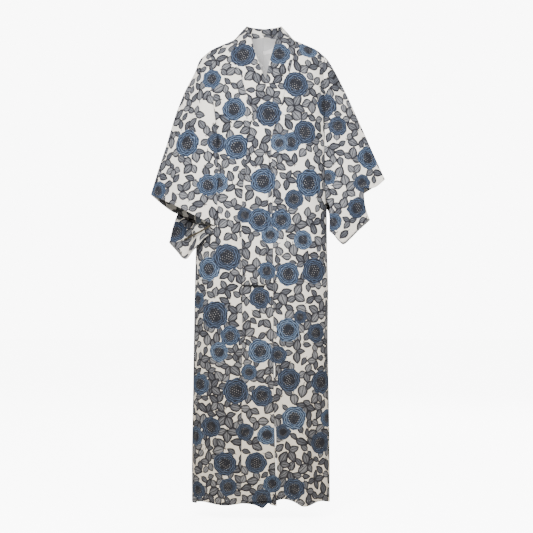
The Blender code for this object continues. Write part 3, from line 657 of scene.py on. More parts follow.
def grid_normals(grid):
    return unit(np.cross(np.gradient(grid, axis=1), np.gradient(grid, axis=0)))


def lengths(points, axis):
    """Length along a grid or a line from its start to each point."""
    step = np.linalg.norm(np.diff(points, axis=axis), axis=-1)
    start = np.zeros_like(np.take(step, [0], axis=axis))
    return np.concatenate([start, np.cumsum(step, axis=axis)], axis=axis)


def spread(points, counts, closed=False):
    """Smooth curve of points through coarse ones along axis 0, with a count of parts for each span."""
    p = np.asarray(points, float)
    if closed:
        p = np.concatenate([p, p[:1]])
    gaps = np.linalg.norm(np.diff(p, axis=0), axis=-1)
    t = np.concatenate([[0.0], np.cumsum(gaps.reshape(len(gaps), -1).mean(axis=1) + 1e-6)])
    slope = np.zeros_like(p)
    slope[1:-1] = (p[2:] - p[:-2]) / (t[2:] - t[:-2]).reshape((-1,) + (1,) * (p.ndim - 1))
    slope[0] = (p[1] - p[0]) / (t[1] - t[0])
    slope[-1] = (p[-1] - p[-2]) / (t[-1] - t[-2])
    if closed:
        slope[[0, -1]] = (p[1] - p[-2]) / (t[1] - t[0] + t[-1] - t[-2])
    out = []
    for i in range(len(p) - 1):
        span = t[i + 1] - t[i]
        for k in range(counts[i]):
            a, b, c, d = hermite(k / counts[i])
            out.append(a * p[i] + b * span * slope[i] + c * p[i + 1] + d * span * slope[i + 1])
    return np.array(out + [p[-1]])


def span_counts(grid, axis, closed=False):
    """Parts for each span, so that cells are near the wanted size."""
    g = np.moveaxis(grid, axis, 0)
    if closed:
        g = np.concatenate([g, g[:1]])
    gaps = np.linalg.norm(np.diff(g, axis=0), axis=-1)
    return [max(1, math.ceil(np.percentile(row, 80) / CELL)) for row in gaps]


def fine_grid(grid, across=None, closed=False):
    """Fine grid of points through a coarse one, and its parts across."""
    grid = np.asarray(grid, float)
    across = across or span_counts(grid, 1, closed)
    rows = spread(grid, span_counts(grid, 0))
    return np.moveaxis(spread(np.moveaxis(rows, 1, 0), across, closed), 0, 1), across


def in_photo(points):
    """Places of points in the photo's frame."""
    x, y, height = np.moveaxis(points, -1, 0)
    pixel = PIXEL * (1 + y / CAMERA_DISTANCE)
    return FRAME / 2 + (x - CAMERA_X) / pixel, FRAME / 2 - (height - CAMERA_HEIGHT) / pixel


def turned(normal, lean):
    """Two axes along the cloth for a motif, to the viewer's right and up."""
    facing = normal * (1 - lean) + np.array([0.0, -1.0, 0.0]) * lean
    facing /= np.linalg.norm(facing)
    right = np.cross(facing, (0.0, 0.0, -1.0))
    if np.linalg.norm(right) < 0.2:
        right = np.array([1.0, 0.0, 0.0])
    right /= np.linalg.norm(right)
    return right, np.cross(right, facing)


class Cloth:
    """Cells of a piece. A motif on it is its place, normal, size, tone, turn and two axes."""

    def __init__(self, centres, normals, front):
        self.centres = centres
        self.normals = normals
        self.front = front
        self.tree = kdtree.KDTree(len(centres))
        for i, centre in enumerate(centres):
            self.tree.insert(centre, i)
        self.tree.balance()
        self.px, self.py = in_photo(centres)

    def beside(self, place, reach):
        return np.array([hit[1] for hit in self.tree.find_range(place, reach)], dtype=int)


class Kept:
    """Places that are taken, with the way that the cloth faces there."""

    def __init__(self):
        self.rows = np.zeros((4000, 6))
        self.count = 0

    def add(self, place, normal):
        self.rows[self.count] = (*place, *normal)
        self.count += 1

    def clear(self, place, normal, gap):
        rows = self.rows[:self.count]
        near = (np.linalg.norm(rows[:, :3] - place, axis=1) < gap) & (rows[:, 3:] @ normal > SAME_SIDE)
        return not near.any()


def apart(motif, others, gap):
    """Whether a motif is clear of others on its own side of the cloth."""
    return not any(np.dot(motif[1], other[1]) > SAME_SIDE
                   and np.linalg.norm(motif[0] - other[0]) < motif[2] + other[2] + gap for other in others)


def lay_flowers(cloth, dice, scatter):
    """The charted flowers where the cloth faces the camera, others like them elsewhere."""
    flowers = []
    front = np.nonzero(cloth.front)[0]
    for px, py, radius, tone in FRONT_FLOWERS:
        away = np.hypot(cloth.px[front] - px, cloth.py[front] - py)
        nearest = front[np.argmin(away)]
        normal = cloth.normals[nearest]
        if away.min() <= radius * 0.8 and normal[1] <= -0.3:
            y = cloth.centres[nearest, 1]
            pixel = PIXEL * (1 + y / CAMERA_DISTANCE)
            from_middle = np.array([px - FRAME / 2, 0, FRAME / 2 - py])
            place = np.array([CAMERA_X, y, CAMERA_HEIGHT]) + from_middle * pixel
            turn = dice.random() * ANY_TURN
            flowers.append((place, normal, radius * PIXEL, tone, turn, *turned(normal, FLOWER_LEAN)))
    rest = np.nonzero(~cloth.front & (cloth.normals[:, 1] > 0.2))[0]
    seen = cloth.front & (cloth.normals[:, 1] < -0.2)
    for _ in range(int(len(rest) / 12) if scatter else 0):
        i = rest[dice.randrange(len(rest))]
        normal = cloth.normals[i]
        motif = (cloth.centres[i], normal, dice.uniform(*FLOWER_SIZES), dice.choice((0, 1, 1, 2, 2)),
                 dice.random() * ANY_TURN, *turned(normal, 0.0))
        if apart(motif, flowers, FLOWER_GAP) and not seen[cloth.beside(motif[0], motif[2] * 0.8)].any():
            flowers.append(motif)
    return flowers


def lay_leaves(cloth, flowers, dice):
    """Leaves in sprays of two to four round a knot, and single ones in the gaps."""
    count = len(cloth.centres)
    places = np.array([f[0] for f in flowers] + [np.full(3, FAR)])
    faces = np.array([f[1] for f in flowers] + [np.zeros(3)])
    sizes = np.array([f[2] for f in flowers] + [0.0])
    leaves = []
    spots = Kept()
    knots = Kept()

    def looser(place):
        """Spacing grows a little from the hips up."""
        return 1.0 + 0.10 * float(np.clip((place[2] - 700.0) / 250.0, 0.0, 1.0))

    def clear_of_flowers(place, normal, gap):
        away = np.linalg.norm(places - place, axis=1) - sizes
        return np.min(np.where(faces @ normal > SAME_SIDE, away, FAR)) > gap

    def axes(i):
        return turned(cloth.normals[i], LEAF_LEAN if cloth.front[i] else 0.0)

    def add(place, normal, right, up, size, angle):
        if clear_of_flowers(place, normal, 0.0):
            leaves.append((place, normal, size, dice.randrange(3), angle, right, up))
            spots.add(place, normal)
    for _ in range(int(count / 6)):
        i = dice.randrange(count)
        place, normal = cloth.centres[i], cloth.normals[i]
        if knots.clear(place, normal, KNOT_SPACING * looser(place)) and clear_of_flowers(place, normal, -2):
            right, up = axes(i)
            turn = dice.random() * ANY_TURN
            number = dice.choice((2, 3, 3, 4))
            gap = dice.uniform(1.15, 1.5)
            for n in range(number):
                angle = turn + (n - (number - 1) / 2) * gap
                size = dice.uniform(*LEAF_HALF)
                spot = place + (right * math.cos(angle) + up * math.sin(angle)) * size * 1.06
                if spots.clear(spot, normal, LEAF_SPACING):
                    add(spot, normal, right, up, size, angle)
            knots.add(place, normal)
    for _ in range(int(count / 3)):
        i = dice.randrange(count)
        place, normal = cloth.centres[i], cloth.normals[i]
        if spots.clear(place, normal, SINGLE_SPACING * looser(place)):
            add(place, normal, *axes(i), dice.uniform(*LEAF_HALF) * 0.92, dice.random() * ANY_TURN)
    return leaves


def in_layers(motifs, count, spacing):
    """Motifs in layers, each clear of the others in its layer. What fits in none is dropped."""
    layers = [[] for _ in range(count)]
    for motif in motifs:
        for layer in layers:
            if all(np.linalg.norm(motif[0] - other[0]) > spacing for other in layer):
                layer.append(motif)
                break
    return layers


def motif_coordinates(cloth, corners, motifs, wide):
    """Corner coordinates of each cell in its own motif: tone and place across, then place up."""
    best = np.full(len(cloth.centres), 9.0)
    local = np.full((len(cloth.centres), 4, 2), 0.5) + (0.48, 0.0)
    for place, normal, size, tone, turn, right, up in motifs:
        near = cloth.beside(place, size * REACH)
        near = near[cloth.normals[near] @ normal > CELL_FACES]
        along = right * math.cos(turn) + up * math.sin(turn)
        over = up * math.cos(turn) - right * math.sin(turn)
        step = cloth.centres[near] - place
        away = np.hypot(step @ along, (step @ over) / wide) / size
        better = away < best[near]
        pick = near[better]
        best[pick] = away[better]
        step = corners[pick] - place
        local[pick, :, 0] = np.clip(0.5 + MOTIF_HALF * (step @ along) / size, 0.002, 0.998) + tone
        local[pick, :, 1] = np.clip(0.5 + MOTIF_HALF * (step @ over) / size, 0.002, 0.998)
    return local


def pressed(points, quads, normals, creases):
    """Points after the creases are pressed into them."""
    facing = np.zeros_like(points)
    for k in range(4):
        np.add.at(facing, quads[:, k], normals)
    facing = unit(facing)
    depth = np.zeros(len(points))
    t = np.linspace(0, 1, CREASE_PARTS + 1)[:, None]
    for face, x0, h0, x1, h1, x2, h2, width, sink in creases:
        near = np.nonzero((facing[:, 1] * face < 0.1) & (points[:, 2] > min(h0, h1, h2) - 3 * width)
                          & (points[:, 2] < max(h0, h1, h2) + 3 * width))[0]
        if len(near):
            start, middle, end = np.array([[x0, h0]]), np.array([[x1, h1]]), np.array([[x2, h2]])
            bend = 2 * middle - (start + end) / 2
            line = (1 - t) ** 2 * start + 2 * t * (1 - t) * bend + t ** 2 * end
            away = np.linalg.norm(points[near][:, None, (0, 2)] - line, axis=2)
            fade = np.sin(np.pi * np.clip(away.argmin(axis=1) / CREASE_PARTS, 0.03, 0.97)) ** 0.7
            away = away.min(axis=1) / width
            shape = np.exp(-away ** 2) - 0.4 * np.exp(-((away - 1.7) / 0.8) ** 2)
            depth[near] += sink * fade * shape * np.clip((-facing[near, 1] * face + 0.1) * 1.6, 0, 1)
    return points - facing * depth[:, None]


def add_mesh(name, points, faces, *materials):
    """Object in the scene, from points in millimetres above the hem."""
    mesh = bpy.data.meshes.new(name)
    mesh.from_pydata((points / 1000 - (0, 0, HOLD_HEIGHT / 1000)).tolist(), [], faces)
    for material in materials:
        mesh.materials.append(material)
    for polygon in mesh.polygons:
        polygon.use_smooth = len(polygon.vertices) == 4
    piece = bpy.data.objects.new(name, mesh)
    bpy.context.scene.collection.objects.link(piece)
    return piece


def thicken(piece, thickness, offset):
    wall = piece.modifiers.new("wall", "SOLIDIFY")
    wall.thickness = thickness / 1000
    wall.offset = offset
    return wall


def corners_of(a):
    """Values at the four corners of each cell of a grid."""
    return np.stack([a[:-1, :-1], a[:-1, 1:], a[1:, 1:], a[1:, :-1]], axis=2).reshape((-1, 4) + a.shape[2:])


def facing_of(corners):
    return unit(np.cross(corners[:, 2] - corners[:, 0], corners[:, 3] - corners[:, 1]))


def sheet_object(name, blocks, materials, seed, thickness, flip, creases=BODY_CREASES, scatter=True,
                 shade=()):
    """Cloth piece from blocks, each a grid and what of it faces the camera, with the print's coordinates."""
    dice = random.Random(seed)
    points, quads, flat, front, bag = [], [], [], [], []
    base = 0
    for n, (grid, facing) in enumerate(blocks):
        across = lengths(grid, 1)
        along = np.broadcast_to(lengths(grid, 0).mean(axis=1)[:, None], across.shape)
        points.append(grid.reshape(-1, 3))
        quads.append(base + corners_of(np.arange(across.size).reshape(across.shape)))
        flat.append(np.stack([corners_of(across), corners_of(along)], axis=-1))
        front.append(corners_of(facing)[:, 0])
        bag.append(np.full(len(front[-1]), n > 0))
        base += across.size
    points, quads, flat, front, bag = map(np.concatenate, (points, quads, flat, front, bag))
    if flip:
        quads, flat = quads[:, ::-1], flat[:, ::-1]
    _, first, inverse = np.unique(np.round(points, 3), axis=0, return_index=True, return_inverse=True)
    points = points[first]
    quads = inverse.reshape(-1)[quads]
    keep = (quads != np.roll(quads, -1, axis=1)).all(axis=1)
    quads, flat, front, bag = quads[keep], flat[keep], front[keep], bag[keep]
    corners = points[quads]
    cloth = Cloth(corners.mean(axis=1), facing_of(corners), front)
    flowers = sorted(lay_flowers(cloth, dice, scatter), key=lambda flower: -flower[2])
    leaves = lay_leaves(cloth, flowers, dice)
    lower, upper = [], []
    for flower in flowers:
        (upper if apart(flower, upper, 4) else lower).append(flower)
    maps = {"cloth": flat / 1000, "flower_a": motif_coordinates(cloth, corners, upper, 1.0),
            "flower_b": motif_coordinates(cloth, corners, lower, 1.0)}
    for i, layer in enumerate(in_layers(leaves, LEAF_LAYERS, LAYER_SPACING)):
        maps["leaf_%d" % (i + 1)] = motif_coordinates(cloth, corners, layer, LEAF_WIDE)
    piece = add_mesh(name, pressed(points, quads, cloth.normals, creases), quads.tolist(), *materials)
    for title, values in maps.items():
        piece.data.uv_layers.new(name=title).data.foreach_set("uv", values.astype(np.float32).ravel())
    # Cells between the two lines get the third material: a painted shadow under the cuff's front edge
    if shade:
        line = np.array(shade)
        low = np.interp(cloth.px, line[:, 0], line[:, 1], left=0, right=0)
        high = np.interp(cloth.px, line[:, 0], line[:, 2])
        dark = front & (cloth.py < low) & (cloth.py > high) & (bag | (cloth.px > PAINTED_CUFF_SHADOW_ON_TUBE))
        piece.data.polygons.foreach_set("material_index", np.where(dark, 2, 0).astype(np.int32))
    thicken(piece, thickness, 0.0).material_offset = 1
    return piece


class Term:
    """A number or colour in a node tree, to write sums with."""

    def __init__(self, net, socket):
        self.net = net
        self.socket = socket

    def do(self, kind, *others):
        return self.net.math(kind, self, *others)

    def __add__(self, other):
        return self.do("ADD", other)

    def __sub__(self, other):
        return self.do("SUBTRACT", other)

    def __rsub__(self, other):
        return self.net.math("SUBTRACT", other, self)

    def __mul__(self, other):
        return self.do("MULTIPLY", other)

    def __truediv__(self, other):
        return self.do("DIVIDE", other)


class Net:
    """A material and its node tree."""

    def __init__(self, name, roughness):
        self.material = bpy.data.materials.new(name)
        self.material.use_nodes = True
        self.tree = self.material.node_tree
        self.inputs = self.tree.nodes["Principled BSDF"].inputs
        self.inputs["Roughness"].default_value = roughness

    def node(self, kind, inputs, **settings):
        """Node with inputs by name or number, each a term, a number or a colour."""
        node = self.tree.nodes.new("ShaderNode" + kind)
        for key, value in settings.items():
            setattr(node, key, value)
        for key, value in inputs.items():
            self.put(node.inputs[key], value)
        return node

    def put(self, socket, value):
        if isinstance(value, Term):
            self.tree.links.new(value.socket, socket)
        elif isinstance(value, tuple):
            socket.default_value = (*value, 1.0)
        else:
            socket.default_value = value

    def math(self, kind, *values):
        return Term(self, self.node("Math", dict(enumerate(values)), operation=kind).outputs[0])

    def step(self, value, low, high):
        inputs = {"Value": value, "From Min": low, "From Max": high}
        return Term(self, self.node("MapRange", inputs, interpolation_type="SMOOTHSTEP").outputs["Result"])

    def mix(self, share, a, b, blend="MIX"):
        node = self.node("Mix", {0: share}, data_type="RGBA", blend_type=blend)
        self.put(node.inputs[6], a)
        self.put(node.inputs[7], b)
        return Term(self, node.outputs[2])

    def uv(self, name):
        return Term(self, self.node("UVMap", {}, uv_map=name).outputs[0])

    def place(self):
        return Term(self, self.node("TexCoord", {}).outputs["Object"])

    def parts(self, vector):
        return [Term(self, part) for part in self.node("SeparateXYZ", {0: vector}).outputs]

    def noise(self, vector, scale, detail=2.0):
        inputs = {"Vector": vector, "Scale": scale, "Detail": detail}
        return Term(self, self.node("TexNoise", inputs).outputs[0])

    def finish(self, colour, height, strength, distance):
        self.put(self.inputs["Base Color"], colour)
        self.inputs["Specular IOR Level"].default_value = 0.04
        bump = self.node("Bump", {"Strength": strength, "Distance": distance, "Height": height})
        self.put(self.inputs["Normal"], Term(self, bump.outputs[0]))
        return self.material


# Ink, cloth, and the tint of the cloth at the top and at the hem, where it is darker and warmer as painted
# shade
NAVY = (0.0015, 0.002, 0.006)
CREAM = (0.80, 0.775, 0.72)
LIT_TOP_TINT = (1.0, 0.985, 0.965)
PAINTED_HEM_SHADE = (0.74, 0.69, 0.615)
SLUB = (0.80, 0.79, 0.76)

# Petals, their pale strokes and leaves, each light, middle and dark
PETALS = [(0.028, 0.056, 0.110), (0.016, 0.033, 0.070), (0.010, 0.019, 0.042)]
STROKES = [(0.165, 0.225, 0.325), (0.100, 0.148, 0.230), (0.068, 0.102, 0.165)]
LEAF_FILLS = [(0.150, 0.155, 0.170), (0.100, 0.105, 0.120), (0.064, 0.069, 0.084)]
LEAF_EDGE = (0.030, 0.033, 0.046)
LEAF_PALE = (0.19, 0.20, 0.22)
HEART_DOT = (0.25, 0.25, 0.25)
RINGS = 6.8
HALF_PETALS = 4.0
HEART_DOTS = 6.0
THREADS = 7400.0


def times(colour, *shares):
    return tuple(c * k for c, k in zip(colour, shares if len(shares) == 3 else shares * 3))


def by_tone(net, tone, colours):
    first = net.mix(net.step(tone, 0.2, 1.0), colours[0], colours[1])
    return net.mix(net.step(tone, 1.2, 2.0), first, colours[2])


def motif_place(net, name):
    """Tone of a cell's motif, and the place across and up in the motif's size."""
    x, y, _ = net.parts(net.uv(name))
    return x.do("FLOOR"), (x.do("FRACT") - 0.5) / MOTIF_HALF, (y - 0.5) / MOTIF_HALF


def flower_nodes(net, name, wobble, broken):
    """A round flower: rings of overlapping petals drawn as strokes, round a dark heart with pale dots."""
    tone, a, b = motif_place(net, name)
    loose = (wobble - 0.5) * 0.34
    r = (a * a + b * b).do("SQRT") + loose
    turn = b.do("ARCTAN2", a) + loose * 1.2
    ring = (r * RINGS).do("FLOOR")
    arc = (turn * HALF_PETALS + ring * 1.9).do("SINE").do("ABSOLUTE")
    level = (r * RINGS + arc * -0.20 + 8.0).do("FRACT")
    line = net.step(level, 0.52, 0.68) * (1.0 - net.step(level, 0.93, 1.0)) * (broken * 0.45 + 0.55)
    stroke = net.step(level, 0.05, 0.25) * (1.0 - net.step(level, 0.34, 0.52)) * (broken * 0.70 + 0.30)
    body = net.mix(stroke * 0.8, by_tone(net, tone, PETALS), by_tone(net, tone, STROKES))
    body = net.mix(line, body, NAVY)
    body = net.mix((1.0 - net.step(r, 0.36, 0.62)) * 0.93, body, NAVY)
    row = b * HEART_DOTS
    across = (a * HEART_DOTS + row.do("FLOOR") * 0.5 + loose * 3.0 + 20.0).do("FRACT") - 0.5
    over = (row + 20.0).do("FRACT") - 0.5
    dot = 1.0 - net.step(across * across + over * over, 0.012, 0.05)
    near = (1.0 - net.step(r, 0.46, 0.62)) * net.step(wobble, 0.40, 0.58)
    body = net.mix(dot * near * 0.85, body, HEART_DOT)
    rim = (turn * HALF_PETALS).do("SINE").do("ABSOLUTE") * 0.045 + 0.93
    return body, r.do("LESS_THAN", rim)


def leaf_nodes(net, name, wobble):
    """A round leaf: a grey fill inside a dark outline, with a stem, a midrib and two long veins."""
    tone, a, b = motif_place(net, name)
    side = (b + (wobble - 0.5) * 0.32).do("ABSOLUTE")
    half = (1.0 - a * a).do("MAXIMUM", 0.0).do("POWER", 0.74) * (0.80 - tone * 0.09 - a * 0.20)
    inside = half - side
    line = 1.0 - net.step(inside, 0.17, 0.30)
    rib = (1.0 - net.step(side, 0.04, 0.10)) * 0.8
    vein = (side / half.do("MAXIMUM", 0.05) - 0.48).do("ABSOLUTE")
    vein = (1.0 - net.step(vein, 0.05, 0.13)) * net.step(wobble, 0.42, 0.6)
    fill = net.mix(net.step(wobble, 0.5, 0.75) * 0.5, by_tone(net, tone, LEAF_FILLS), LEAF_PALE)
    fill = net.mix((1.0 - net.step(inside, 0.25, 0.55)) * 0.5, fill, LEAF_EDGE)
    fill = net.mix(line.do("MAXIMUM", rib).do("MAXIMUM", vein * 0.7), fill, NAVY)
    stem = a.do("LESS_THAN", -0.9) * side.do("LESS_THAN", 0.07)
    return net.mix(stem, fill, NAVY), inside.do("GREATER_THAN", 0.0).do("MAXIMUM", stem)


def printed_cloth(name, fade, ground=CREAM, shade=1.0):
    """Printed cotton. Fade is how much paler the print is, as on the back of the cloth. Shade darkens all of
    it as painted shade, and it grows darker and warmer towards the hem as painted shade.
    """
    net = Net(name, 0.88)
    cloth = net.uv("cloth")
    wobble = net.noise(cloth, 55.0, 3.0)
    wide = net.noise(cloth, 9.0)
    broken = net.step(net.noise(cloth, 130.0), 0.36, 0.56)
    # Share of the way down towards the hem, where painted shade darkens the cloth
    low = 1.0 - net.step(net.parts(net.place())[2], -1.35, -0.25)
    colour = net.mix(wide * 0.35, ground, times(ground, 0.93))
    # The plain ground is darker towards the hem as painted shade
    if not fade:
        hem_shaded_ground = net.mix(low, times(ground, 0.88), times(ground, 0.70, 0.68, 0.65))
        colour = net.mix(wide * 0.25, hem_shaded_ground, colour)
    for number in range(LEAF_LAYERS, 0, -1):
        fill, mask = leaf_nodes(net, "leaf_%d" % number, wobble)
        colour = net.mix(mask, colour, fill)
    for key in ("flower_b", "flower_a"):
        fill, mask = flower_nodes(net, key, wobble, broken)
        colour = net.mix(mask, colour, fill)
    if fade:
        colour = net.mix(fade, colour, ground)
    across, along, _ = net.parts(cloth)
    thread = (across * THREADS).do("SINE") * (along * THREADS).do("SINE")
    slub = net.noise(cloth, 420.0)
    colour = net.mix(slub * 0.035, colour, SLUB)
    # Painted light at the top and painted shade towards the hem, times the painted shade factor
    colour = net.mix(1.0, colour, net.mix(low, times(LIT_TOP_TINT, shade), times(PAINTED_HEM_SHADE, shade)), "MULTIPLY")
    net.inputs["Sheen Weight"].default_value = 0.01
    net.inputs["Sheen Roughness"].default_value = 0.5
    return net.finish(colour, thread * 0.25 + slub + net.noise(cloth, 28.0, 3.0) * 5.0, 0.22, 0.0006)


def woven(name, rgb, roughness=0.9, scale=420.0):
    """Plain cotton without print: colour with slubs and a fine weave. The darkest ones make painted shadow
    lines.
    """
    net = Net(name, roughness)
    place = net.place()
    slub = net.noise(place, scale, 3.0)
    shade = slub * 0.5 + net.noise(place, 22.0) * 0.5
    colour = net.mix(net.step(shade, 0.3, 0.7), times(rgb, 0.86), times(rgb, 1.06))
    return net.finish(colour, slub, 0.25, 0.0004)


def make_robe():
    """The cloth pieces, and the grids that the sewing lies on."""
    bodies = {side: body_rows(side) for side in (1, -1)}
    outer = printed_cloth("printed_cotton", 0.0)
    # Back of the cloth: its paler print is real, and its ground, whiter than the front's, is partly painted
    # light for the shaded inside of the neck
    reverse = printed_cloth("printed_cotton_reverse_painted_light", 0.72, (0.95, 0.955, 0.97))
    # Inside of the sleeves, darkened by the shade factor as painted shade
    in_sleeve = printed_cloth("printed_cotton_in_sleeve_painted_shade", 0.10, (0.86, 0.83, 0.76), 0.38)
    # Print darkened to about a tenth: painted shadow under the right cuff's front edge
    painted_cuff_shadow = printed_cloth("printed_cotton_painted_cuff_shadow", 0.0, CREAM, 0.11)
    pieces, grids = {}, {}

    def add(name, blocks, materials, seed, thickness, flip, **rest):
        pieces[name] = sheet_object(name + "_cloth", blocks, materials, seed, thickness, flip, **rest)
        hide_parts(name)

    def all_seen(grid):
        return np.ones(grid.shape[:2], bool)
    for name, side, seed in (("body_left", 1, 11), ("body_right", -1, 12)):
        grid, _ = fine_grid(bodies[side])
        # The inner edges meet in the middle of the back, where the two bodies are sewn together
        for row in grid:
            if row[0][1] > 0 and abs(row[0][0]) < BACK_SEAM_REACH:
                row[0][0] = row_at(TORSO, row[0][2])[0]
        ridge = np.argmin(abs(grid[:, -1, 1]))
        seen = all_seen(grid)
        seen[:ridge] = False
        grids[name] = (grid, ridge)
        add(name, [(grid, seen)], (outer, reverse), seed, CLOTH, side > 0)
    for name, side, seed in (("gore_left", 1, 13), ("gore_right", -1, 14)):
        wide, strip = gore_rows(side)
        wide, across = fine_grid(wide)
        strip, _ = fine_grid(strip, across[ACROSS_GORE:])
        strip[0] = wide[-1][sum(across[:ACROSS_GORE]):]
        add(name, [(wide, all_seen(wide)), (strip, all_seen(strip))], (outer, reverse), seed, CLOTH, side < 0)
    grid, _ = fine_grid(collar_rows(bodies))
    grid[:, 0] += unit(grid[:, 0] - grid[:, 1]) * COLLAR_TUCK
    grids["collar"] = grid
    seen = grid[..., 1] < COLLAR_FRONT
    add("collar", [(grid, seen)], (outer, outer), 15, COLLAR_CLOTH, False, scatter=False)
    # The right sleeve carries the painted shadow under its cuff
    for name, side, seed, shade in (("sleeve_left", 1, 16, ()), ("sleeve_right", -1, 17, PAINTED_CUFF_SHADOW)):
        loops = sleeve_loops(side, bodies[side])
        rows = bag_rows(side, loops[-1])
        front = BAG_FRONT[side]
        tube, across = fine_grid(loops, None, True)
        starts = np.concatenate([[0], np.cumsum(across)])
        seen = all_seen(tube)
        seen[:, starts[SLEEVE_COUNTS[0]] + 1:] = False
        bag_across = [across[min(pair)] for pair in zip(front, front[1:])]
        bag, _ = fine_grid([[loops[-1][j] for j in front]] + rows, bag_across)
        bag[0] = tube[-1][np.arange(starts[front[0]], starts[front[-1]] + side, side)]
        if side > 0:
            rim = tube[-1][np.arange(starts[BAG_BACK[0]], starts[BAG_BACK[-1]] - 1, -1)]
            bag[-1] = at_share(rim, np.linspace(0, 1, bag.shape[1]))
        bag_seen = all_seen(bag)
        bag_seen[int(bag.shape[0] * BAG_ROWS / len(rows)):] = False
        grids[name] = (tube, bag, np.array(rows[BAG_ROWS - 1]))
        add(name, [(tube, seen), (bag, bag_seen)], (outer, in_sleeve, painted_cuff_shadow), seed, CLOTH, side < 0,
            creases=SLEEVE_CREASES, shade=shade)
    return pieces, grids


def at_share(points, shares):
    """Points at shares of the way through a row, by count."""
    places = np.linspace(0, 1, len(points))
    return np.stack([np.interp(shares, places, points[:, i]) for i in range(3)], axis=-1)


def at_length(line, place, values=None):
    """Point at a length along a line, or another value there."""
    values = line if values is None else values
    return np.array([np.interp(place, lengths(line, 0), values[:, i]) for i in range(3)])


def strip_object(name, lines, widths, lifts, material, creases, taper=None):
    """Narrow band sewn on the cloth, from lines that run in from its edge, with a lift for each width."""
    grid = np.array([[at_length(line, width) for width in widths] for line in lines])
    if taper is not None:
        grid = grid[:, :1] + (grid - grid[:, :1]) * taper[:, None, None]
    normals = grid_normals(grid)
    normals *= np.where(normals[..., 1:2] > 0, -1.0, 1.0)
    points = (grid + normals * np.array(lifts)[None, :, None]).reshape(-1, 3)
    quads = corners_of(np.arange(len(points)).reshape(grid.shape[:2]))
    facing = facing_of(points[quads])
    if facing[:, 1].mean() > 0:
        quads = quads[:, ::-1]
        facing = -facing
    strip = add_mesh(name, pressed(points, quads, facing, creases), quads.tolist(), material)
    thicken(strip, 0.6, 1.0)
    return strip


def bag_lines(grid, closing, x_low, x_high):
    """Lines up the front of a sleeve bag from its lower edge."""
    away = [np.linalg.norm(row[:, None] - closing, axis=2).min(axis=1).mean() for row in grid]
    last = int(np.argmin(away))
    return [grid[last::-1, c] for c in range(grid.shape[1]) if x_low <= grid[last, c, 0] <= x_high]


def surface_path(grids, corners, lift):
    """Smooth path over the cloth that faces the camera, through places across and up."""
    cloth = np.concatenate([grid.reshape(-1, 3) for grid in grids])
    path = []
    for x, height in spread(corners, [8] * (len(corners) - 1)):
        away = np.hypot(cloth[:, 0] - x, cloth[:, 2] - height)
        near = away < max(9.0, away.min() + 1e-6)
        path.append((x, cloth[near, 1].min() - lift, height))
    return np.array(path)


def tubes_object(name, paths, radius, material, sides=6):
    """Round tubes along paths, in one mesh: threads, and dark lines of painted shadow."""
    verts, faces = [], []
    for path in paths:
        base = len(verts)
        last = len(path) - 1
        for i, point in enumerate(path):
            run = unit(path[min(i + 1, last)] - path[max(i - 1, 0)])
            first = np.cross(run, (0.31, 0.94, 0.12))
            first /= np.linalg.norm(first)
            second = np.cross(run, first)
            end = radius * (0.45 if i in (0, last) else 1.0)
            for k in range(sides):
                turn = 2 * math.pi * k / sides
                verts.append(point + (first * math.cos(turn) + second * math.sin(turn)) * end)
        ring = [base + k for k in range(sides)]
        for a in range(0, last * sides, sides):
            faces += [(k + a, n + a, n + a + sides, k + a + sides) for k, n in zip(ring, ring[1:] + ring[:1])]
        faces += [ring[::-1], [k + last * sides for k in ring]]
    return add_mesh(name, np.array(verts), faces, material)


def stitch_paths(path, normals, spacing, length, lift):
    """Short stitches along a path on the cloth."""
    paths = []
    start = spacing / 2
    while start + length < lengths(path, 0)[-1]:
        steps = ((start, 0.1), (start + length / 2, 1.0), (start + length, 0.1))
        paths.append([at_length(path, p) + at_length(path, p, normals) * lift * rise for p, rise in steps])
        start += spacing
    return paths


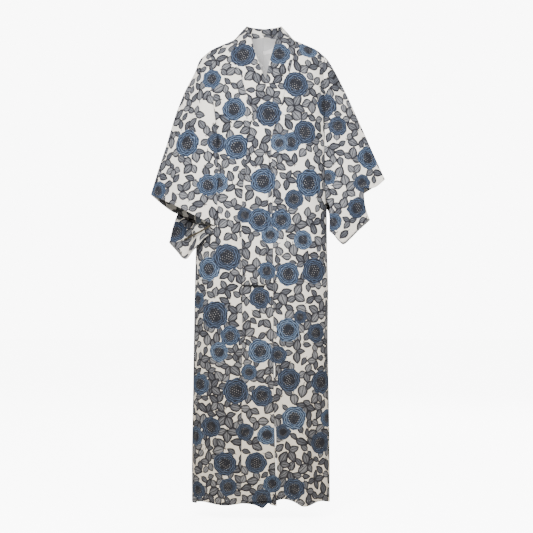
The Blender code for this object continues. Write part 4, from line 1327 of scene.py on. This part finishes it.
def make_sewing(grids):
    """Bands, dark lines of painted shadow and stitches, by the piece of cloth that carries them."""
    cream = woven("plain_cotton", (0.74, 0.71, 0.65))
    reverse = woven("cotton_hem_reverse", (0.115, 0.113, 0.108))
    # Near-black and dark tan cloth for the painted shadow lines
    dark = woven("painted_seam_shadow", (0.012, 0.012, 0.013))
    tan = woven("painted_fold_shadow", (0.050, 0.042, 0.030))
    thread = woven("white_thread", (0.70, 0.69, 0.66), 0.7, 1260.0)
    sewing = {key: [] for key in FLAT}
    grid, ridge = grids["body_left"]
    for n, (low, high) in enumerate(RIDGES):
        lines = [row[:4] for row in grid[ridge:] if low < row[0][2] < high]
        taper = np.sin(np.pi * np.linspace(0.04, 0.96, len(lines))) ** 0.4
        sewing["body_left"].append(strip_object(
            "front_seam_ridge_%d" % n, lines, SEAM_RIDGE, (0.5, 1.5, 0.5), cream, BODY_CREASES, taper))
    for key, x_low, x_high in (("sleeve_left", 246, 340), ("sleeve_right", -306, -252)):
        lines = bag_lines(*grids[key][1:], x_low, x_high)
        sewing[key].append(strip_object(
            key + "_hem_band", lines, HEM_BAND, (1.8, 2.3, 1.8), reverse, SLEEVE_CREASES))
    # A dark tan tube along the bag's fold: a painted shadow line
    path = surface_path(grids["sleeve_right"][:2], [(-168, 872), (-196, 856), (-226, 842), (-256, 830)], 5.4)
    sewing["sleeve_right"].append(tubes_object("sleeve_right_fold_painted_shadow", [path], 3.0, tan))
    # A near-black tube at the neckband's lower end: a painted shadow line
    path = surface_path([grids["collar"]], [(-72, 690), (-66, 685), (-30, 683), (2, 682)], 2.6)
    sewing["collar"].append(tubes_object("collar_end_painted_shadow", [path], 1.9, dark))
    for key in ("body_left", "body_right"):
        grid = grids[key][0]
        normals = grid_normals(grid)
        paths = []
        for step in (1, -1):
            path = np.array([at_length(line[:8], HEM_STITCHES) for line in np.moveaxis(grid[::step], 1, 0)])
            facing = normals[::step][4]
            outward = (path + (8, 0, 0)) * (1, 1, 0)
            facing = facing * np.where((facing * outward).sum(axis=1, keepdims=True) < 0, -1.0, 1.0)
            paths += stitch_paths(path, facing, 11.0, 2.6, 1.2)
        sewing[key].append(tubes_object(key + "_hem_stitches", paths, 0.35, thread))
    for key in ("sleeve_left", "sleeve_right"):
        tube = grids[key][0]
        normals = grid_normals(tube)
        outward = tube - tube.mean(axis=1, keepdims=True)
        normals *= np.where((outward * normals).sum(axis=2, keepdims=True) < 0, -1.0, 1.0)
        path = np.array([at_length(line, CUFF_STITCHES) for line in np.moveaxis(tube[-1:-9:-1], 1, 0)])
        paths = stitch_paths(path, normals[-3], 9.0, 2.4, 1.1)
        sewing[key].append(tubes_object(key + "_cuff_stitches", paths, 0.35, thread))
    return sewing


def make_studio():
    """Pale floor, white backdrop, three soft lights and the camera."""
    white = (1.0, 1.0, 1.0)
    net = Net("pale_floor", 0.9)
    net.put(net.inputs["Base Color"], times(white, 0.9))
    net.put(net.inputs["Emission Color"], white)
    net.put(net.inputs["Emission Strength"], BACKDROP - 1.2)
    corners = np.array([(-1, -1, 0), (1, -1, 0), (1, 1, 0), (-1, 1, 0)]) * FLOOR_HALF + (0, 0, FLOOR_LEVEL)
    floor = add_mesh("floor", corners, [(0, 1, 2, 3)], net.material)
    only = bpy.data.collections.new("floor_light")
    only.objects.link(floor)
    floor.light_linking.receiver_collection = only
    scene = bpy.context.scene
    world = bpy.data.worlds.new("studio")
    scene.world = world
    world.use_nodes = True
    tree = world.node_tree
    soft = tree.nodes["Background"]
    bright = tree.nodes.new("ShaderNodeBackground")
    for background, strength in ((soft, 0.8), (bright, BACKDROP)):
        background.inputs[0].default_value = (*white, 1.0)
        background.inputs[1].default_value = strength
    path = tree.nodes.new("ShaderNodeLightPath")
    both = tree.nodes.new("ShaderNodeMixShader")
    tree.links.new(path.outputs["Is Camera Ray"], both.inputs[0])
    tree.links.new(soft.outputs[0], both.inputs[1])
    tree.links.new(bright.outputs[0], both.inputs[2])
    tree.links.new(both.outputs[0], tree.nodes["World Output"].inputs[0])
    for name, place, aim, size, power_w in (
            ("key", (-0.8, -3.5, 1.5), (0.0, 0.0, -0.5), 2.0, 330.0),
            ("fill", (1.6, -3.6, 0.3), (0.0, 0.0, -0.7), 2.4, 70.0),
            ("back fill", (1.2, 3.4, 1.2), (0.0, 0.0, -0.6), 2.4, 150.0)):
        light = bpy.data.lights.new(name, "AREA")
        light.energy = power_w
        light.size = size
        lamp = bpy.data.objects.new(name, light)
        lamp.location = place
        lamp.rotation_euler = (Vector(aim) - Vector(place)).to_track_quat("-Z", "Y").to_euler()
        scene.collection.objects.link(lamp)
    camera = bpy.data.cameras.new("camera")
    camera.sensor_width = 36.0
    camera.lens = 36.0 * CAMERA_DISTANCE / (FRAME * PIXEL)
    camera.clip_end = 60.0
    eye = bpy.data.objects.new("camera", camera)
    eye.location = (CAMERA_X / 1000, -CAMERA_DISTANCE / 1000, (CAMERA_HEIGHT - HOLD_HEIGHT) / 1000)
    eye.rotation_euler = (math.radians(90), 0, 0)
    scene.collection.objects.link(eye)
    scene.camera = eye


robe, robe_grids = make_robe()
sewing = make_sewing(robe_grids)
for label, piece in robe.items():
    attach(piece, "root")
    for part in sewing.get(label, []):
        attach(part, "root")
make_studio()
